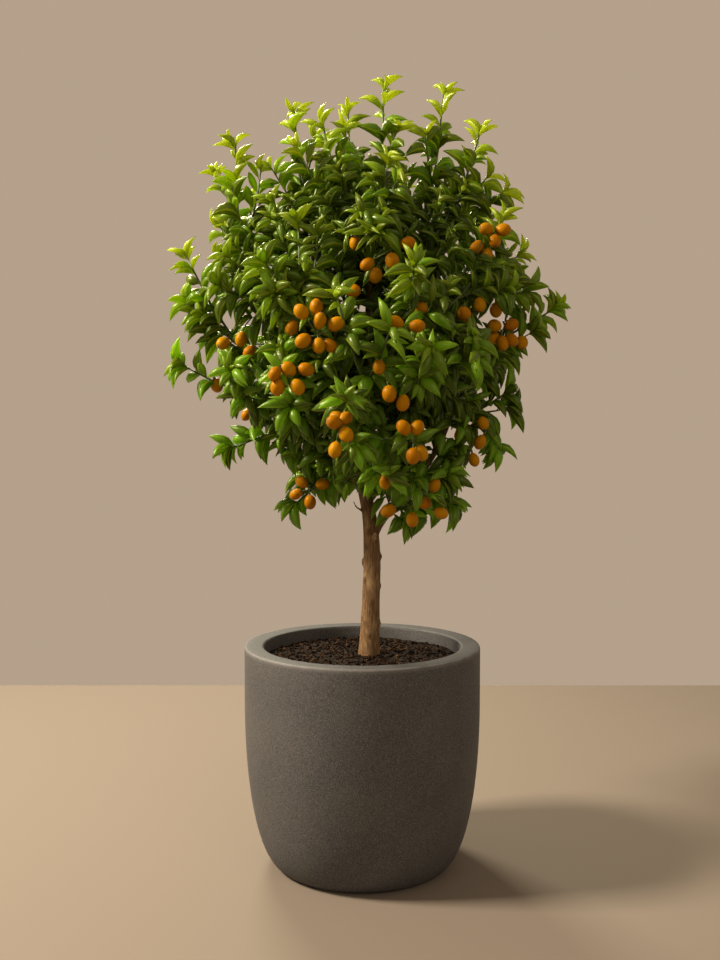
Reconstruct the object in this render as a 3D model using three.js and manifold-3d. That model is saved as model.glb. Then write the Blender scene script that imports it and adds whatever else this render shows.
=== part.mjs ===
// A kumquat tree trained as a small standard, in a round planter. Millimetres, +Z up.
// The origin is the centre of the planter's flat base.
import * as THREE from "three";
import { mergeVertices } from "three/addons/utils/BufferGeometryUtils.js";
import Module from "manifold-3d";

const wasm = await Module();
wasm.setup();

// Planter: a round bowl with a flat, inward rim
const POT_HEIGHT = 430;
const POT_RADIUS = 230;
const POT_SHOULDER = 319; // height where the bowl's curve meets the upright wall
const POT_BASE_RADIUS = 157;
const POT_CURVE = 2.1; // exponent of the bowl's rounded outline
const RIM_INNER_RADIUS = 192;
const RIM_BEVEL = 4;
const FLOOR_THICKNESS = 30;
const WALL_THICKNESS = 32;
const POT_OUTER_STEPS = [12, 40, 90, 175, POT_SHOULDER]; // heights of the bowl's outline points
const POT_INNER_STEPS = [190, 75];
const POT_SIDES = 36;
const SOIL_SIDES = 18;
const DRAIN_RADIUS = 10;
const DRAIN_SIDES = 8;
const DRAIN_COUNT = 3;
const DRAIN_CIRCLE = 75;

// Soil: fills the planter to below the rim and rises a little towards the trunk
const SOIL_EDGE = 404;
const SOIL_MOUND = 411;
const SEAT_GAP = 0.35; // between pieces that touch

// Tree: the trunk's axis and its scaffold limbs, each a list of [x, y, z, radius]
const TRUNK = [
  [12, 0, 345, 27], [13, 0, 395, 24], [14, 0, 430, 20.5], [17, 0, 520, 17.5], [19, 0, 600, 17],
  [14, 0, 680, 14.5], [2, 0, 740, 12.5], [-4, 4, 800, 11], [3, 8, 900, 9.5], [10, 5, 1010, 8],
  [13, 0, 1120, 6.5], [15, 0, 1220, 5],
];
const LIMBS = {
  right_fork: [[18, 0, 630, 8], [36, -4, 668, 7.5], [62, -10, 700, 7], [108, -20, 755, 6],
    [150, -25, 825, 5.2], [180, -20, 900, 4.4]],
  left_low: [[4, 0, 728, 7], [-40, -10, 775, 6.5], [-105, -20, 835, 5.6], [-170, -15, 925, 4.4]],
  front_low: [[-2, 2, 755, 7], [-2, -65, 805, 6.2], [-10, -130, 860, 5.4], [-15, -180, 925, 4.4]],
  back_low: [[-4, 2, 775, 7], [12, 75, 825, 6.2], [20, 145, 885, 5.4], [20, 190, 955, 4.4]],
  front_right: [[2, 7, 870, 6.5], [65, -60, 925, 5.8], [110, -115, 985, 5], [135, -145, 1050, 4.2]],
  back_left: [[2, 8, 885, 6.5], [-60, 65, 945, 5.8], [-105, 112, 1005, 5], [-125, 135, 1070, 4.2]],
  back_right: [[4, 8, 920, 6.2], [72, 70, 975, 5.6], [112, 108, 1040, 4.8], [125, 125, 1100, 4]],
  front_left: [[5, 7, 935, 6.2], [-60, -50, 985, 5.6], [-105, -98, 1040, 4.8], [-122, -118, 1100, 4]],
  upper_left: [[10, 5, 1030, 5.8], [-45, 5, 1090, 5], [-90, 10, 1160, 4]],
  upper_right: [[10, 4, 1050, 5.8], [70, -5, 1110, 5], [110, -10, 1180, 4]],
  upper_front: [[12, 3, 1075, 5.5], [15, -55, 1135, 4.8], [20, -95, 1200, 4]],
  upper_back: [[13, 1, 1090, 5.5], [10, 62, 1155, 4.8], [5, 98, 1220, 4]],
};
const ROOTS = 4;
const ROOT_FIRST_TURN = 0.5;
const ROOT_REACH = 95;
const ROOT_DROP = 75;
const ROOT_RADIUS = 9;
const ROOT_END_RADIUS = 4;
const ROOT_ABOVE_FOOT = 25; // where the main roots leave the trunk, above its lowest point
const TRUNK_SIDES = 8;
const LIMB_SIDES = 5;

// Leafy sprays: the limb, the place along it (0 to 1), the tip of the main shoot, then the tips of
// side shoots. A tip's fourth number is the bow: above 0 the shoot sags and turns up, below 0 it arches.
const SPRAYS = [
  ["trunk", 1, [40, 0, 1500, 0.03]],
  ["upper_right", 0.62, [157, 20, 1497, 0.04]],
  ["upper_right", 1, [223, -20, 1411, 0.06], [272, 10, 1308, 0.08]],
  ["upper_front", 0.95, [44, -180, 1320, 0.1], [10, -228, 1185, -0.04]],
  ["upper_front", 0.55, [-73, -70, 1418, 0.06]],
  ["upper_back", 1, [-28, 60, 1470, 0.05]],
  ["upper_left", 0.75, [-131, 10, 1460, 0.04]],
  ["upper_left", 1, [-165, -70, 1272, 0.08]],
  ["back_left", 0.9, [-280, 20, 1342, 0.05]],
  ["front_left", 0.85, [-241, -20, 1391, 0.16]],
  ["left_low", 1, [-341, 0, 1186, 0.04], [-340, 35, 1098, 0.06]],
  ["left_low", 0.9, [-346, -20, 974, 0.05]],
  ["left_low", 0.68, [-250, -30, 815, -0.02]],
  ["left_low", 0.3, [-130, 0, 705, 0.02]],
  ["front_left", 0.68, [-246, -75, 1167, 0.08]],
  ["left_low", 0.8, [-230, -185, 955, 0.05]],
  ["front_right", 1, [256, -90, 1236, 0.08], [302, -75, 1106, 0.05]],
  ["back_right", 1, [309, 60, 1194, 0.08]],
  ["right_fork", 1, [370, 0, 1082, -0.09]],
  ["right_fork", 0.86, [273, -22, 918, 0.03], [257, 33, 814, -0.1]],
  ["right_fork", 0.42, [168, -30, 705, -0.02], [155, -95, 765, -0.05]],
  ["front_low", 1, [-112, -205, 1210, 0.12]],
  ["front_right", 0.78, [83, -294, 1120, 0.1]],
  ["front_low", 0.9, [46, -342, 1016, 0.06], [-42, -328, 1068, 0.05]],
  ["front_right", 0.55, [112, -312, 985, 0.05], [185, -235, 1000, 0.05]],
  ["front_low", 0.8, [-30, -358, 895, -0.04]],
  ["front_low", 0.5, [-12, -325, 828, 0.02], [86, -298, 830, -0.04]],
  ["front_left", 1, [-150, -228, 1082, 0.05]],
  ["left_low", 0.48, [-138, -270, 950, -0.04]],
  ["front_low", 0.25, [43, -250, 770, 0.02], [120, -165, 730, -0.04]],
  ["back_low", 1, [15, 355, 1045, 0.05]],
  ["back_low", 0.82, [-90, 330, 905, -0.04], [100, 325, 880, -0.04]],
  ["back_low", 0.5, [20, 295, 790, 0.02]],
  ["back_low", 0.28, [-120, 205, 745, 0.02], [130, 215, 745, -0.04]],
  ["back_left", 1, [-190, 285, 1125, 0.06], [-165, 185, 1275, 0.06]],
  ["back_left", 0.62, [-300, 165, 1035, 0.04]],
  ["back_left", 0.38, [-205, 235, 905, -0.06]],
  ["back_right", 0.86, [205, 265, 1110, 0.06], [215, 130, 1300, 0.08]],
  ["back_right", 0.55, [290, 185, 1000, 0.04]],
  ["back_right", 0.3, [225, 190, 880, -0.06]],
  ["upper_back", 0.8, [-75, 170, 1345, 0.08], [75, 180, 1335, 0.08]],
  ["upper_back", 0.45, [10, 290, 1220, 0.1]],
];
const SHOOT_RADIUS = 2.5;
const SHOOT_TIP_RADIUS = 1.2;
const SHOOT_SIDES = 3;
const SHOOT_STEPS = 3;
const SIDE_SHOOT_AT = 0.3; // where side shoots leave the main one

// Leaves
const LEAF_LENGTH = 58;
const LEAF_WIDTH = 23;
const LEAF_KEEL = 1.6; // depth of the midrib below the blade's edges
const LEAF_SPACING = 32;
const LEAF_START = 0.2; // the bare foot of a shoot
const LEAF_END = 0.985;
const LEAF_OPEN = 1.1; // radians between the shoot and a grown leaf
const LEAF_ARCH = 0.21; // height of the blade's arch, as a share of its length
const LEAF_TIP_DROP = 0.1; // how far the tip hangs below the line the leaf sets out on
const LEAF_ROLL = 0.4; // radians that a leaf may turn about its own midrib, either way
const LEAF_DROOP = 0.15; // in the upper crown
const LOW_DROOP = 0.65; // at the crown's underside
const LOW_CROWN = 700;
const HIGH_CROWN = 1100;
const YOUNG_FROM = 0.7; // place along a shoot where its leaves start to be young
const YOUNG_SIZE = 0.78;
const YOUNG_OPEN = 0.8;
const TWO_ROWED = 0.5; // a shoot that runs less than this to the front or back has two rows of leaves
const LEAF_STATIONS = [[0.1, 0.2], [0.42, 1], [0.76, 0.68]]; // along the leaf, share of its width
const LEAF_CLEARANCE = 0.6;
const GOLDEN_ANGLE = 2.399963;

// Kumquats: each bunch's knuckle, then its fruit round that place
const FRUIT_RADIUS = 11.5;
const FRUIT_HALF_LENGTH = 14.4;
const FRUIT_SIDES = 6;
const STALK_RADIUS = 1.4;
const KNUCKLE_RADIUS = 3.6;
const STALK_FIRST = 0.1; // a stalk may grow from here on along a shoot
const STALK_STEP = 0.02;
const BUNCHES = [
  [[-75, -300, 1008], [4, -8, 23], [-2, 2, 46], [31, -5, 18], [-27, -5, 38], [2, -6, -18], [-24, -6, -10],
    [21, 6, -17]],
  [[-137, -290, 958], [-10, -5, -14], [-6, 4, -36], [28, -4, -36], [12, 6, -6], [42, 8, -6]],
  [[-38, -338, 855], [-9, -8, 8], [9, 6, 14], [11, -9, -12], [-7, -6, -37], [-5, 10, 15]],
  [[84, -314, 828], [-16, -3, 26], [7, 4, 26], [-1, -6, -21], [13, 8, -16]],
  [[88, -150, 716], [-41, 0, -13], [2, -4, -29], [24, 4, 1], [54, 0, -17]],
  [[-102, -40, 734], [-25, 4, -8], [-14, 6, 15], [2, 0, -23], [26, 10, 11]],
  [[238, -112, 1206], [-13, -8, 8], [18, -6, 7], [2, -14, -14], [-10, 0, -37], [-29, 0, -23]],
  [[260, -68, 1034], [-14, -12, 9], [2, -8, -23], [19, -8, -17], [19, 2, 12], [-16, 8, -12]],
  [[234, -58, 846], [-6, -2, 16], [-11, 2, -20]],
  [[47, -228, 1159], [31, 4, 13], [4, -4, -19], [-39, 6, -23]],
  [[71, -316, 1014], [18, -6, 7], [-16, -2, 14]],
  [[8, 322, 990], [-4, 8, -22], [-20, 4, 8], [18, 6, -4]],
  [[-205, 160, 996], [-18, 2, 6], [12, 8, -12], [-4, 10, -24]],
  [[205, 172, 860], [-14, 6, 10], [16, 2, -10], [0, 10, -24]],
  [[12, 212, 1138], [-16, 6, 6], [12, 10, -14], [4, -6, 20]],
];

const SEED = 20113;

// Small helpers

function vector(p) {
  return new THREE.Vector3(p[0], p[1], p[2]);
}

// One stream of even numbers from 0 to 1 for each spray, the same on every run
function numberStream(seed) {
  let state = (SEED + seed * 7919) % 4294967296;
  return () => {
    state = (state * 1664525 + 1013904223) % 4294967296;
    return state / 4294967296;
  };
}

// A closed skin over rings of points. A ring of one point closes the skin to that point, and other
// end rings are capped. Neighbouring quads are split in mirror image, so a thin blade's two faces match.
function skin(rings) {
  const points = rings.flat();
  const index = [];
  let start = 0;
  for (let i = 0; i + 1 < rings.length; i += 1) {
    const next = start + rings[i].length;
    const sides = Math.max(rings[i].length, rings[i + 1].length);
    for (let j = 0; j < sides; j += 1) {
      const k = (j + 1) % sides;
      const [a, b] = rings[i].length > 1 ? [start + j, start + k] : [start, start];
      const [d, c] = rings[i + 1].length > 1 ? [next + j, next + k] : [next, next];
      const triangles = j % 2 ? [[a, b, d], [b, c, d]] : [[a, b, c], [a, c, d]];
      for (const [p, q, r] of triangles) {
        if (p !== q && q !== r && r !== p) index.push(p, q, r);
      }
    }
    start = next;
  }
  const last = rings[rings.length - 1].length;
  for (let j = 1; j + 1 < rings[0].length; j += 1) index.push(0, j + 1, j);
  for (let j = 1; j + 1 < last; j += 1) index.push(start, start + j, start + j + 1);
  const geometry = new THREE.BufferGeometry().setFromPoints(points);
  geometry.setIndex(index);
  return geometry;
}

function toSolid(geometry) {
  const shape = geometry.clone();
  for (const name of Object.keys(shape.attributes)) {
    if (name !== "position") shape.deleteAttribute(name);
  }
  const merged = mergeVertices(shape, 1e-4);
  const mesh = new wasm.Mesh({
    numProp: 3,
    vertProperties: new Float32Array(merged.attributes.position.array),
    triVerts: new Uint32Array(merged.index.array),
  });
  return new wasm.Manifold(mesh);
}

function toGeometry(solid) {
  const mesh = solid.getMesh();
  const geometry = new THREE.BufferGeometry();
  geometry.setAttribute("position", new THREE.BufferAttribute(mesh.vertProperties, 3));
  geometry.setIndex(new THREE.BufferAttribute(mesh.triVerts, 1));
  return geometry;
}

// A round bar of changing radius along a curve, grown by extra all round
function bar(curve, radiusAt, sides, steps, extra) {
  const frames = curve.computeFrenetFrames(steps, false);
  const rings = [];
  for (let i = 0; i <= steps; i += 1) {
    const u = i / steps;
    const centre = curve.getPointAt(u);
    if (i === 0) centre.addScaledVector(frames.tangents[i], -extra);
    if (i === steps) centre.addScaledVector(frames.tangents[i], extra);
    const radius = radiusAt(u) + extra;
    rings.push(Array.from({ length: sides }, (_, j) => {
      const turn = (2 * Math.PI * j) / sides;
      return centre.clone()
        .addScaledVector(frames.normals[i], radius * Math.cos(turn))
        .addScaledVector(frames.binormals[i], radius * Math.sin(turn));
    }));
  }
  return toSolid(skin(rings));
}

// The planter

function bowlRadius(z) {
  const depth = Math.min(Math.max(1 - z / POT_SHOULDER, 0), 1);
  const bulge = (1 - depth ** POT_CURVE) ** (1 / POT_CURVE);
  return POT_BASE_RADIUS + (POT_RADIUS - 1 - POT_BASE_RADIUS) * bulge;
}

function innerProfile(inset) {
  const profile = [new THREE.Vector2(RIM_INNER_RADIUS - inset, SOIL_EDGE)];
  for (const z of POT_INNER_STEPS) {
    profile.push(new THREE.Vector2(Math.min(bowlRadius(z) - WALL_THICKNESS, RIM_INNER_RADIUS) - inset, z));
  }
  profile.push(new THREE.Vector2(POT_BASE_RADIUS - WALL_THICKNESS - inset, FLOOR_THICKNESS + inset));
  profile.push(new THREE.Vector2(0, FLOOR_THICKNESS + inset));
  return profile;
}

function potSolid() {
  const profile = [new THREE.Vector2(0, 0), new THREE.Vector2(POT_BASE_RADIUS, 0)];
  for (const z of POT_OUTER_STEPS) {
    profile.push(new THREE.Vector2(bowlRadius(z), z));
  }
  profile.push(new THREE.Vector2(POT_RADIUS, POT_HEIGHT - RIM_BEVEL));
  profile.push(new THREE.Vector2(POT_RADIUS - RIM_BEVEL, POT_HEIGHT));
  profile.push(new THREE.Vector2(RIM_INNER_RADIUS + RIM_BEVEL, POT_HEIGHT));
  profile.push(new THREE.Vector2(RIM_INNER_RADIUS, POT_HEIGHT - RIM_BEVEL));
  profile.push(...innerProfile(0).slice(1));
  let solid = toSolid(new THREE.LatheGeometry(profile, POT_SIDES).rotateX(Math.PI / 2));
  for (let i = 0; i < DRAIN_COUNT; i += 1) {
    const turn = (2 * Math.PI * i) / DRAIN_COUNT;
    const drill = new THREE.CylinderGeometry(DRAIN_RADIUS, DRAIN_RADIUS, 3 * FLOOR_THICKNESS, DRAIN_SIDES);
    drill.rotateX(Math.PI / 2);
    drill.translate(DRAIN_CIRCLE * Math.cos(turn), DRAIN_CIRCLE * Math.sin(turn), 0);
    solid = solid.subtract(toSolid(drill));
  }
  return solid;
}

function soilSolid(tree) {
  const profile = innerProfile(SEAT_GAP).reverse();
  profile.push(new THREE.Vector2(RIM_INNER_RADIUS / 2, (SOIL_EDGE + SOIL_MOUND) / 2));
  profile.push(new THREE.Vector2(0, SOIL_MOUND));
  return toSolid(new THREE.LatheGeometry(profile, SOIL_SIDES).rotateX(Math.PI / 2)).subtract(tree);
}

// The tree's wood

function limbCurve(points) {
  return new THREE.CatmullRomCurve3(points.map(vector));
}

function limbRadius(points, u) {
  const place = u * (points.length - 1);
  const i = Math.min(Math.floor(place), points.length - 2);
  return points[i][3] + (points[i + 1][3] - points[i][3]) * (place - i);
}

function limbPoints(name) {
  return name === "trunk" ? TRUNK : LIMBS[name];
}

function limbBar(name, extra) {
  const points = limbPoints(name);
  const sides = name === "trunk" ? TRUNK_SIDES : LIMB_SIDES;
  return bar(limbCurve(points), (u) => limbRadius(points, u), sides, points.length - 1, extra);
}

// Main roots spread from the trunk's foot, inside the soil
function rootBar(turn, extra) {
  const [x, y, z] = TRUNK[0];
  const out = new THREE.Vector3(Math.cos(turn), Math.sin(turn), 0);
  const foot = new THREE.Vector3(x, y, z + ROOT_ABOVE_FOOT);
  const curve = new THREE.QuadraticBezierCurve3(
    foot,
    foot.clone().addScaledVector(out, ROOT_REACH / 2),
    foot.clone().addScaledVector(out, ROOT_REACH).add(new THREE.Vector3(0, 0, -ROOT_DROP)),
  );
  return bar(curve, (u) => ROOT_RADIUS + (ROOT_END_RADIUS - ROOT_RADIUS) * u, LIMB_SIDES, 2, extra);
}

function woodSolid(extra) {
  let solid = limbBar("trunk", extra);
  for (const name of Object.keys(LIMBS)) solid = solid.add(limbBar(name, extra));
  for (let i = 0; i < ROOTS; i += 1) {
    solid = solid.add(rootBar(ROOT_FIRST_TURN + (2 * Math.PI * i) / ROOTS, extra));
  }
  return solid;
}

// Shoots: a shoot is a bowed line of straight steps, so leaves and stalks can be seated on it

// Two directions square to a shoot: one level, one across it
function squareAxes(direction) {
  const level = new THREE.Vector3(direction.y, -direction.x, 0);
  if (level.length() < 0.05) level.set(1, 0, 0);
  level.normalize();
  return [level, level.clone().cross(direction).negate()];
}

function shootFrom(foot, target) {
  const tip = vector(target);
  const length = tip.distanceTo(foot);
  const along = tip.clone().sub(foot).normalize();
  const sag = new THREE.Vector3(0, 0, -1).addScaledVector(along, along.z).normalize();
  const middle = foot.clone().lerp(tip, 0.5).addScaledVector(sag, 2 * length * target[3]);
  const curve = new THREE.QuadraticBezierCurve3(foot, middle, tip);
  const steps = Array.from({ length: SHOOT_STEPS + 1 }, (_, i) => curve.getPoint(i / SHOOT_STEPS));
  return { steps, length, axes: squareAxes(along), twoRowed: Math.abs(along.y) < TWO_ROWED };
}

function shootPoint(shoot, u) {
  const place = u * SHOOT_STEPS;
  const i = Math.min(Math.floor(place), SHOOT_STEPS - 1);
  return shoot.steps[i].clone().lerp(shoot.steps[i + 1], place - i);
}

function shootDirection(shoot, u) {
  const i = Math.min(Math.floor(u * SHOOT_STEPS), SHOOT_STEPS - 1);
  return shoot.steps[i + 1].clone().sub(shoot.steps[i]).normalize();
}

function shootRadius(u) {
  return SHOOT_RADIUS + (SHOOT_TIP_RADIUS - SHOOT_RADIUS) * u;
}

function shootBar(shoot) {
  const [level, across] = shoot.axes;
  const rings = shoot.steps.map((centre, i) => {
    const u = i / SHOOT_STEPS;
    return Array.from({ length: SHOOT_SIDES }, (_, j) => {
      const turn = (2 * Math.PI * j) / SHOOT_SIDES;
      return centre.clone()
        .addScaledVector(level, shootRadius(u) * Math.cos(turn))
        .addScaledVector(across, shootRadius(u) * Math.sin(turn));
    });
  });
  return toSolid(skin(rings));
}

// Leaves

function leafPlan(shoot, number, count, random) {
  const u = LEAF_START + ((LEAF_END - LEAF_START) * (number + 1 - 0.3 * random())) / count;
  const wobble = random() - 0.5;
  const inRow = Math.PI * (number + 0.5) + 1.3 * wobble;
  const turn = shoot.twoRowed ? inRow : number * GOLDEN_ANGLE + 0.6 * wobble;
  const young = Math.max(0, (u - YOUNG_FROM) / (1 - YOUNG_FROM));
  const open = LEAF_OPEN + (YOUNG_OPEN - LEAF_OPEN) * young + 0.3 * (random() - 0.5);
  const size = (0.88 + 0.24 * random()) * (1 + (YOUNG_SIZE - 1) * young);
  const arch = LEAF_ARCH + 0.1 * (random() - 0.5);
  const roll = 2 * LEAF_ROLL * (random() - 0.5);
  const foot = shootPoint(shoot, u);
  const direction = shootDirection(shoot, u);
  const [level, across] = shoot.axes;
  const low = Math.min(Math.max((HIGH_CROWN - foot.z) / (HIGH_CROWN - LOW_CROWN), 0), 1);
  const droop = LEAF_DROOP + (LOW_DROOP - LEAF_DROOP) * low;
  const axis = direction.clone().multiplyScalar(Math.cos(open))
    .addScaledVector(level, Math.sin(open) * Math.cos(turn))
    .addScaledVector(across, Math.sin(open) * Math.sin(turn));
  axis.z -= droop * Math.sin(open);
  axis.normalize();
  const outward = new THREE.Vector3(foot.x, foot.y, 0).normalize();
  const face = new THREE.Vector3(0, -0.35, 0.6).addScaledVector(direction, 0.3).addScaledVector(outward, 0.5);
  face.addScaledVector(axis, -face.dot(axis)).normalize().applyAxisAngle(axis, roll);
  return { foot, axis, face, size, arch };
}

function leafRings(plan, extra) {
  const length = LEAF_LENGTH * plan.size;
  const right = plan.face.clone().cross(plan.axis);
  const spine = (s) => plan.foot.clone()
    .addScaledVector(plan.axis, length * s)
    .addScaledVector(plan.face, length * (4 * plan.arch * s * (1 - s) - LEAF_TIP_DROP * s * s));
  const rings = LEAF_STATIONS.map(([s, share]) => {
    const half = (LEAF_WIDTH * plan.size * share) / 2 + extra;
    const edge = spine(s).addScaledVector(plan.face, extra);
    return [
      edge.clone().addScaledVector(right, half),
      edge.clone().addScaledVector(right, -half),
      edge.clone().addScaledVector(plan.face, -LEAF_KEEL - 3 * extra),
    ];
  });
  return [...rings, [spine(1 + (2 * extra) / length)]];
}

// The leaf's own solid starts on the far side of the shoot, so its root is sunk in it
function leafSolid(plan) {
  const root = plan.foot.clone()
    .addScaledVector(plan.axis, -SHOOT_TIP_RADIUS)
    .addScaledVector(plan.face, -LEAF_KEEL / 2);
  return toSolid(skin([[root], ...leafRings(plan, 0)]));
}

function leafGuard(plan) {
  return toSolid(skin(leafRings(plan, LEAF_CLEARANCE)));
}

// Kumquats

function fruitSolid(centre, knuckle, extra) {
  const away = centre.clone().sub(knuckle);
  away.z -= FRUIT_RADIUS / 2;
  const fruit = new THREE.SphereGeometry(1, FRUIT_SIDES, 3);
  fruit.scale(FRUIT_RADIUS + extra, FRUIT_HALF_LENGTH + extra, FRUIT_RADIUS + extra);
  const turn = new THREE.Quaternion().setFromUnitVectors(new THREE.Vector3(0, 1, 0), away.normalize());
  fruit.applyQuaternion(turn);
  fruit.translate(centre.x, centre.y, centre.z);
  return toSolid(fruit);
}

function stalkBar(foot, end, extra) {
  return bar(new THREE.LineCurve3(foot, end), () => STALK_RADIUS, SHOOT_SIDES, 1, extra);
}

// A bunch: fruit on stalks that spring from one knuckle
function bunchSolid(knuckle, centres, extra) {
  const core = new THREE.OctahedronGeometry(KNUCKLE_RADIUS + extra);
  core.translate(knuckle.x, knuckle.y, knuckle.z);
  return centres
    .map((centre) => fruitSolid(centre, knuckle, extra).add(stalkBar(knuckle, centre, extra)))
    .reduce((a, b) => a.add(b), toSolid(core));
}

// Pieces already placed, so that what comes next is kept clear of them

const placed = [];

function setDown(solid, owner) {
  const box = new THREE.Box3().setFromBufferAttribute(toGeometry(solid).attributes.position);
  placed.push({ solid, owner, box });
}

function isClear(guard, owner) {
  const box = new THREE.Box3().setFromBufferAttribute(toGeometry(guard).attributes.position);
  return placed.every((other) => other.owner === owner || !other.box.intersectsBox(box)
    || guard.intersect(other.solid).isEmpty());
}

// The largest body of a solid: scraps that a cut leaves loose and sealed hollows are dropped
function mainBody(solid) {
  const mesh = solid.getMesh();
  const parent = Array.from({ length: mesh.vertProperties.length / 3 }, (_, i) => i);
  const find = (i) => {
    let top = i;
    while (parent[top] !== top) top = parent[top];
    parent[i] = top;
    return top;
  };
  for (let t = 0; t < mesh.triVerts.length; t += 3) {
    parent[find(mesh.triVerts[t + 1])] = find(mesh.triVerts[t]);
    parent[find(mesh.triVerts[t + 2])] = find(mesh.triVerts[t]);
  }
  const volumes = new Map();
  const corner = (t) => new THREE.Vector3().fromArray(mesh.vertProperties, mesh.triVerts[t] * 3);
  for (let t = 0; t < mesh.triVerts.length; t += 3) {
    const body = find(mesh.triVerts[t]);
    const volume = corner(t).dot(corner(t + 1).cross(corner(t + 2)));
    volumes.set(body, (volumes.get(body) || 0) + volume);
  }
  const [largest] = [...volumes.entries()].sort((a, b) => b[1] - a[1])[0];
  const index = [];
  for (let t = 0; t < mesh.triVerts.length; t += 3) {
    if (find(mesh.triVerts[t]) === largest) index.push(...mesh.triVerts.subarray(t, t + 3));
  }
  const geometry = new THREE.BufferGeometry();
  geometry.setAttribute("position", new THREE.BufferAttribute(mesh.vertProperties, 3));
  geometry.setIndex(index);
  return geometry;
}

// The shoot that is nearest to a bunch's knuckle bears it
function nearestShoot(sprays, knuckle) {
  let best = null;
  for (const spray of sprays) {
    for (const shoot of spray.shoots) {
      for (let u = STALK_FIRST; u <= 1; u += STALK_STEP) {
        const foot = shootPoint(shoot, u);
        const distance = foot.distanceTo(knuckle);
        if (!best || distance < best.distance) best = { spray, foot, distance };
      }
    }
  }
  return best;
}

// Assembly

const model = new THREE.Group();

function addMesh(name, geometry, color, roughness) {
  const mesh = new THREE.Mesh(geometry, new THREE.MeshStandardMaterial({ color, roughness, metalness: 0 }));
  mesh.name = name;
  model.add(mesh);
}

function numbered(name, i) {
  return `${name}_${String(i + 1).padStart(2, "0")}`;
}

addMesh("pot", toGeometry(potSolid()), 0x4a4a4a, 0.75);

const wood = woodSolid(0);
const woodGuard = woodSolid(SEAT_GAP);
setDown(wood, "trunk_and_limbs");
addMesh("soil", mainBody(soilSolid(woodGuard)), 0x3a2a1e, 0.95);
addMesh("trunk_and_limbs", mainBody(wood), 0x7d6347, 0.8);

const bunches = BUNCHES.map(([middle, ...offsets], i) => {
  const name = numbered("kumquats", i);
  const knuckle = vector(middle);
  const centres = offsets.map((offset) => knuckle.clone().add(vector(offset)));
  const solid = bunchSolid(knuckle, centres, 0);
  setDown(solid, name);
  addMesh(name, mainBody(solid), 0xe68a17, 0.35);
  return { knuckle, guard: bunchSolid(knuckle, centres, SEAT_GAP) };
});

const sprays = SPRAYS.map(([limb, at, ...tips], i) => {
  const main = shootFrom(limbCurve(limbPoints(limb)).getPointAt(at), tips[0]);
  const forks = tips.slice(1).map((tip) => shootFrom(shootPoint(main, SIDE_SHOOT_AT), tip));
  const shoots = [main, ...forks];
  const solid = shoots.map(shootBar).reduce((a, b) => a.add(b));
  return { name: numbered("spray", i), shoots, solid };
});

for (const bunch of bunches) {
  const { spray, foot } = nearestShoot(sprays, bunch.knuckle);
  spray.solid = spray.solid.add(stalkBar(foot, bunch.knuckle, 0)).subtract(bunch.guard);
}

for (const spray of sprays) {
  spray.solid = spray.solid.subtract(woodGuard);
  setDown(spray.solid, spray.name);
}

sprays.forEach((spray, i) => {
  const random = numberStream(i + 1);
  for (const shoot of spray.shoots) {
    const count = Math.round((shoot.length * (LEAF_END - LEAF_START)) / LEAF_SPACING);
    for (let number = 0; number < count; number += 1) {
      const plan = leafPlan(shoot, number, count, random);
      const guard = leafGuard(plan);
      if (isClear(guard, spray.name)) {
        setDown(guard, "leaf");
        spray.solid = spray.solid.add(leafSolid(plan));
      }
    }
  }
  addMesh(spray.name, mainBody(spray.solid), 0x4c7d1c, 0.45);
});

export default model;
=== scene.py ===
# %% [markdown]
# # A kumquat tree in a round planter
#
# The real object is a small standard tree: a clear stem, a dense round crown of glossy leaves,
# bunches of orange fruit, and a charcoal planter cast in one piece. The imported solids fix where
# everything is. This lesson dresses them: every solid is replaced by a finer piece of the same form.

# %% Frame
from math import cos, hypot, pi, radians, sin, sqrt

import bmesh
import bpy
from mathutils import Matrix, Vector, noise


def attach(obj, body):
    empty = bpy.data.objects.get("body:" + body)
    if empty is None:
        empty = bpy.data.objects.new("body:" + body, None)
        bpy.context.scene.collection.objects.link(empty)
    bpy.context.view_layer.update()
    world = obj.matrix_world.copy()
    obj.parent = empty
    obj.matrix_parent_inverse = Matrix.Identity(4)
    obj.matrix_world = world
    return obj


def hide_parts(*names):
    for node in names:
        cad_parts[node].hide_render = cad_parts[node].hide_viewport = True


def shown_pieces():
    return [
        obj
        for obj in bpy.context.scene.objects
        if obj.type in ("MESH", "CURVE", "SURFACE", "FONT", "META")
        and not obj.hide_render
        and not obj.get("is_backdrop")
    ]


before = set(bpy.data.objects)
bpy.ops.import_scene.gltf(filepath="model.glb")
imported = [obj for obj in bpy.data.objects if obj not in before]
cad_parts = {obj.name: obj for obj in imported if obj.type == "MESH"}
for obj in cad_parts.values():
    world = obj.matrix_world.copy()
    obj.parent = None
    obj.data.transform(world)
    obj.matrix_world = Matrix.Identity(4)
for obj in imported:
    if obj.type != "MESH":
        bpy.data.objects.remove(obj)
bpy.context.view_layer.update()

MM = 0.001  # the tables below are in millimetres, as in the solids' source

# %% [markdown]
# ## Camera, floor and light
#
# The camera stands a little over two metres in front of the stem at chest height and looks slightly
# down. A warm key lamp stands high on the left. A weak lamp in front on the right opens the shade a
# little, and one behind the crown shines through the young leaves. A soft warm sky does the rest.

# %% Camera
CAMERA_PLACE = (-0.0045, -2.140, 0.8594)
CAMERA_DIP = 2.89  # degrees below level
bpy.ops.object.camera_add(location=CAMERA_PLACE, rotation=(radians(90 - CAMERA_DIP), 0, 0))
camera = bpy.context.object
camera.data.sensor_fit = "VERTICAL"
camera.data.sensor_height = 36
camera.data.lens = 41.25
bpy.context.scene.camera = camera
print("camera:", CAMERA_PLACE, "lens", camera.data.lens, "mm")

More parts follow.
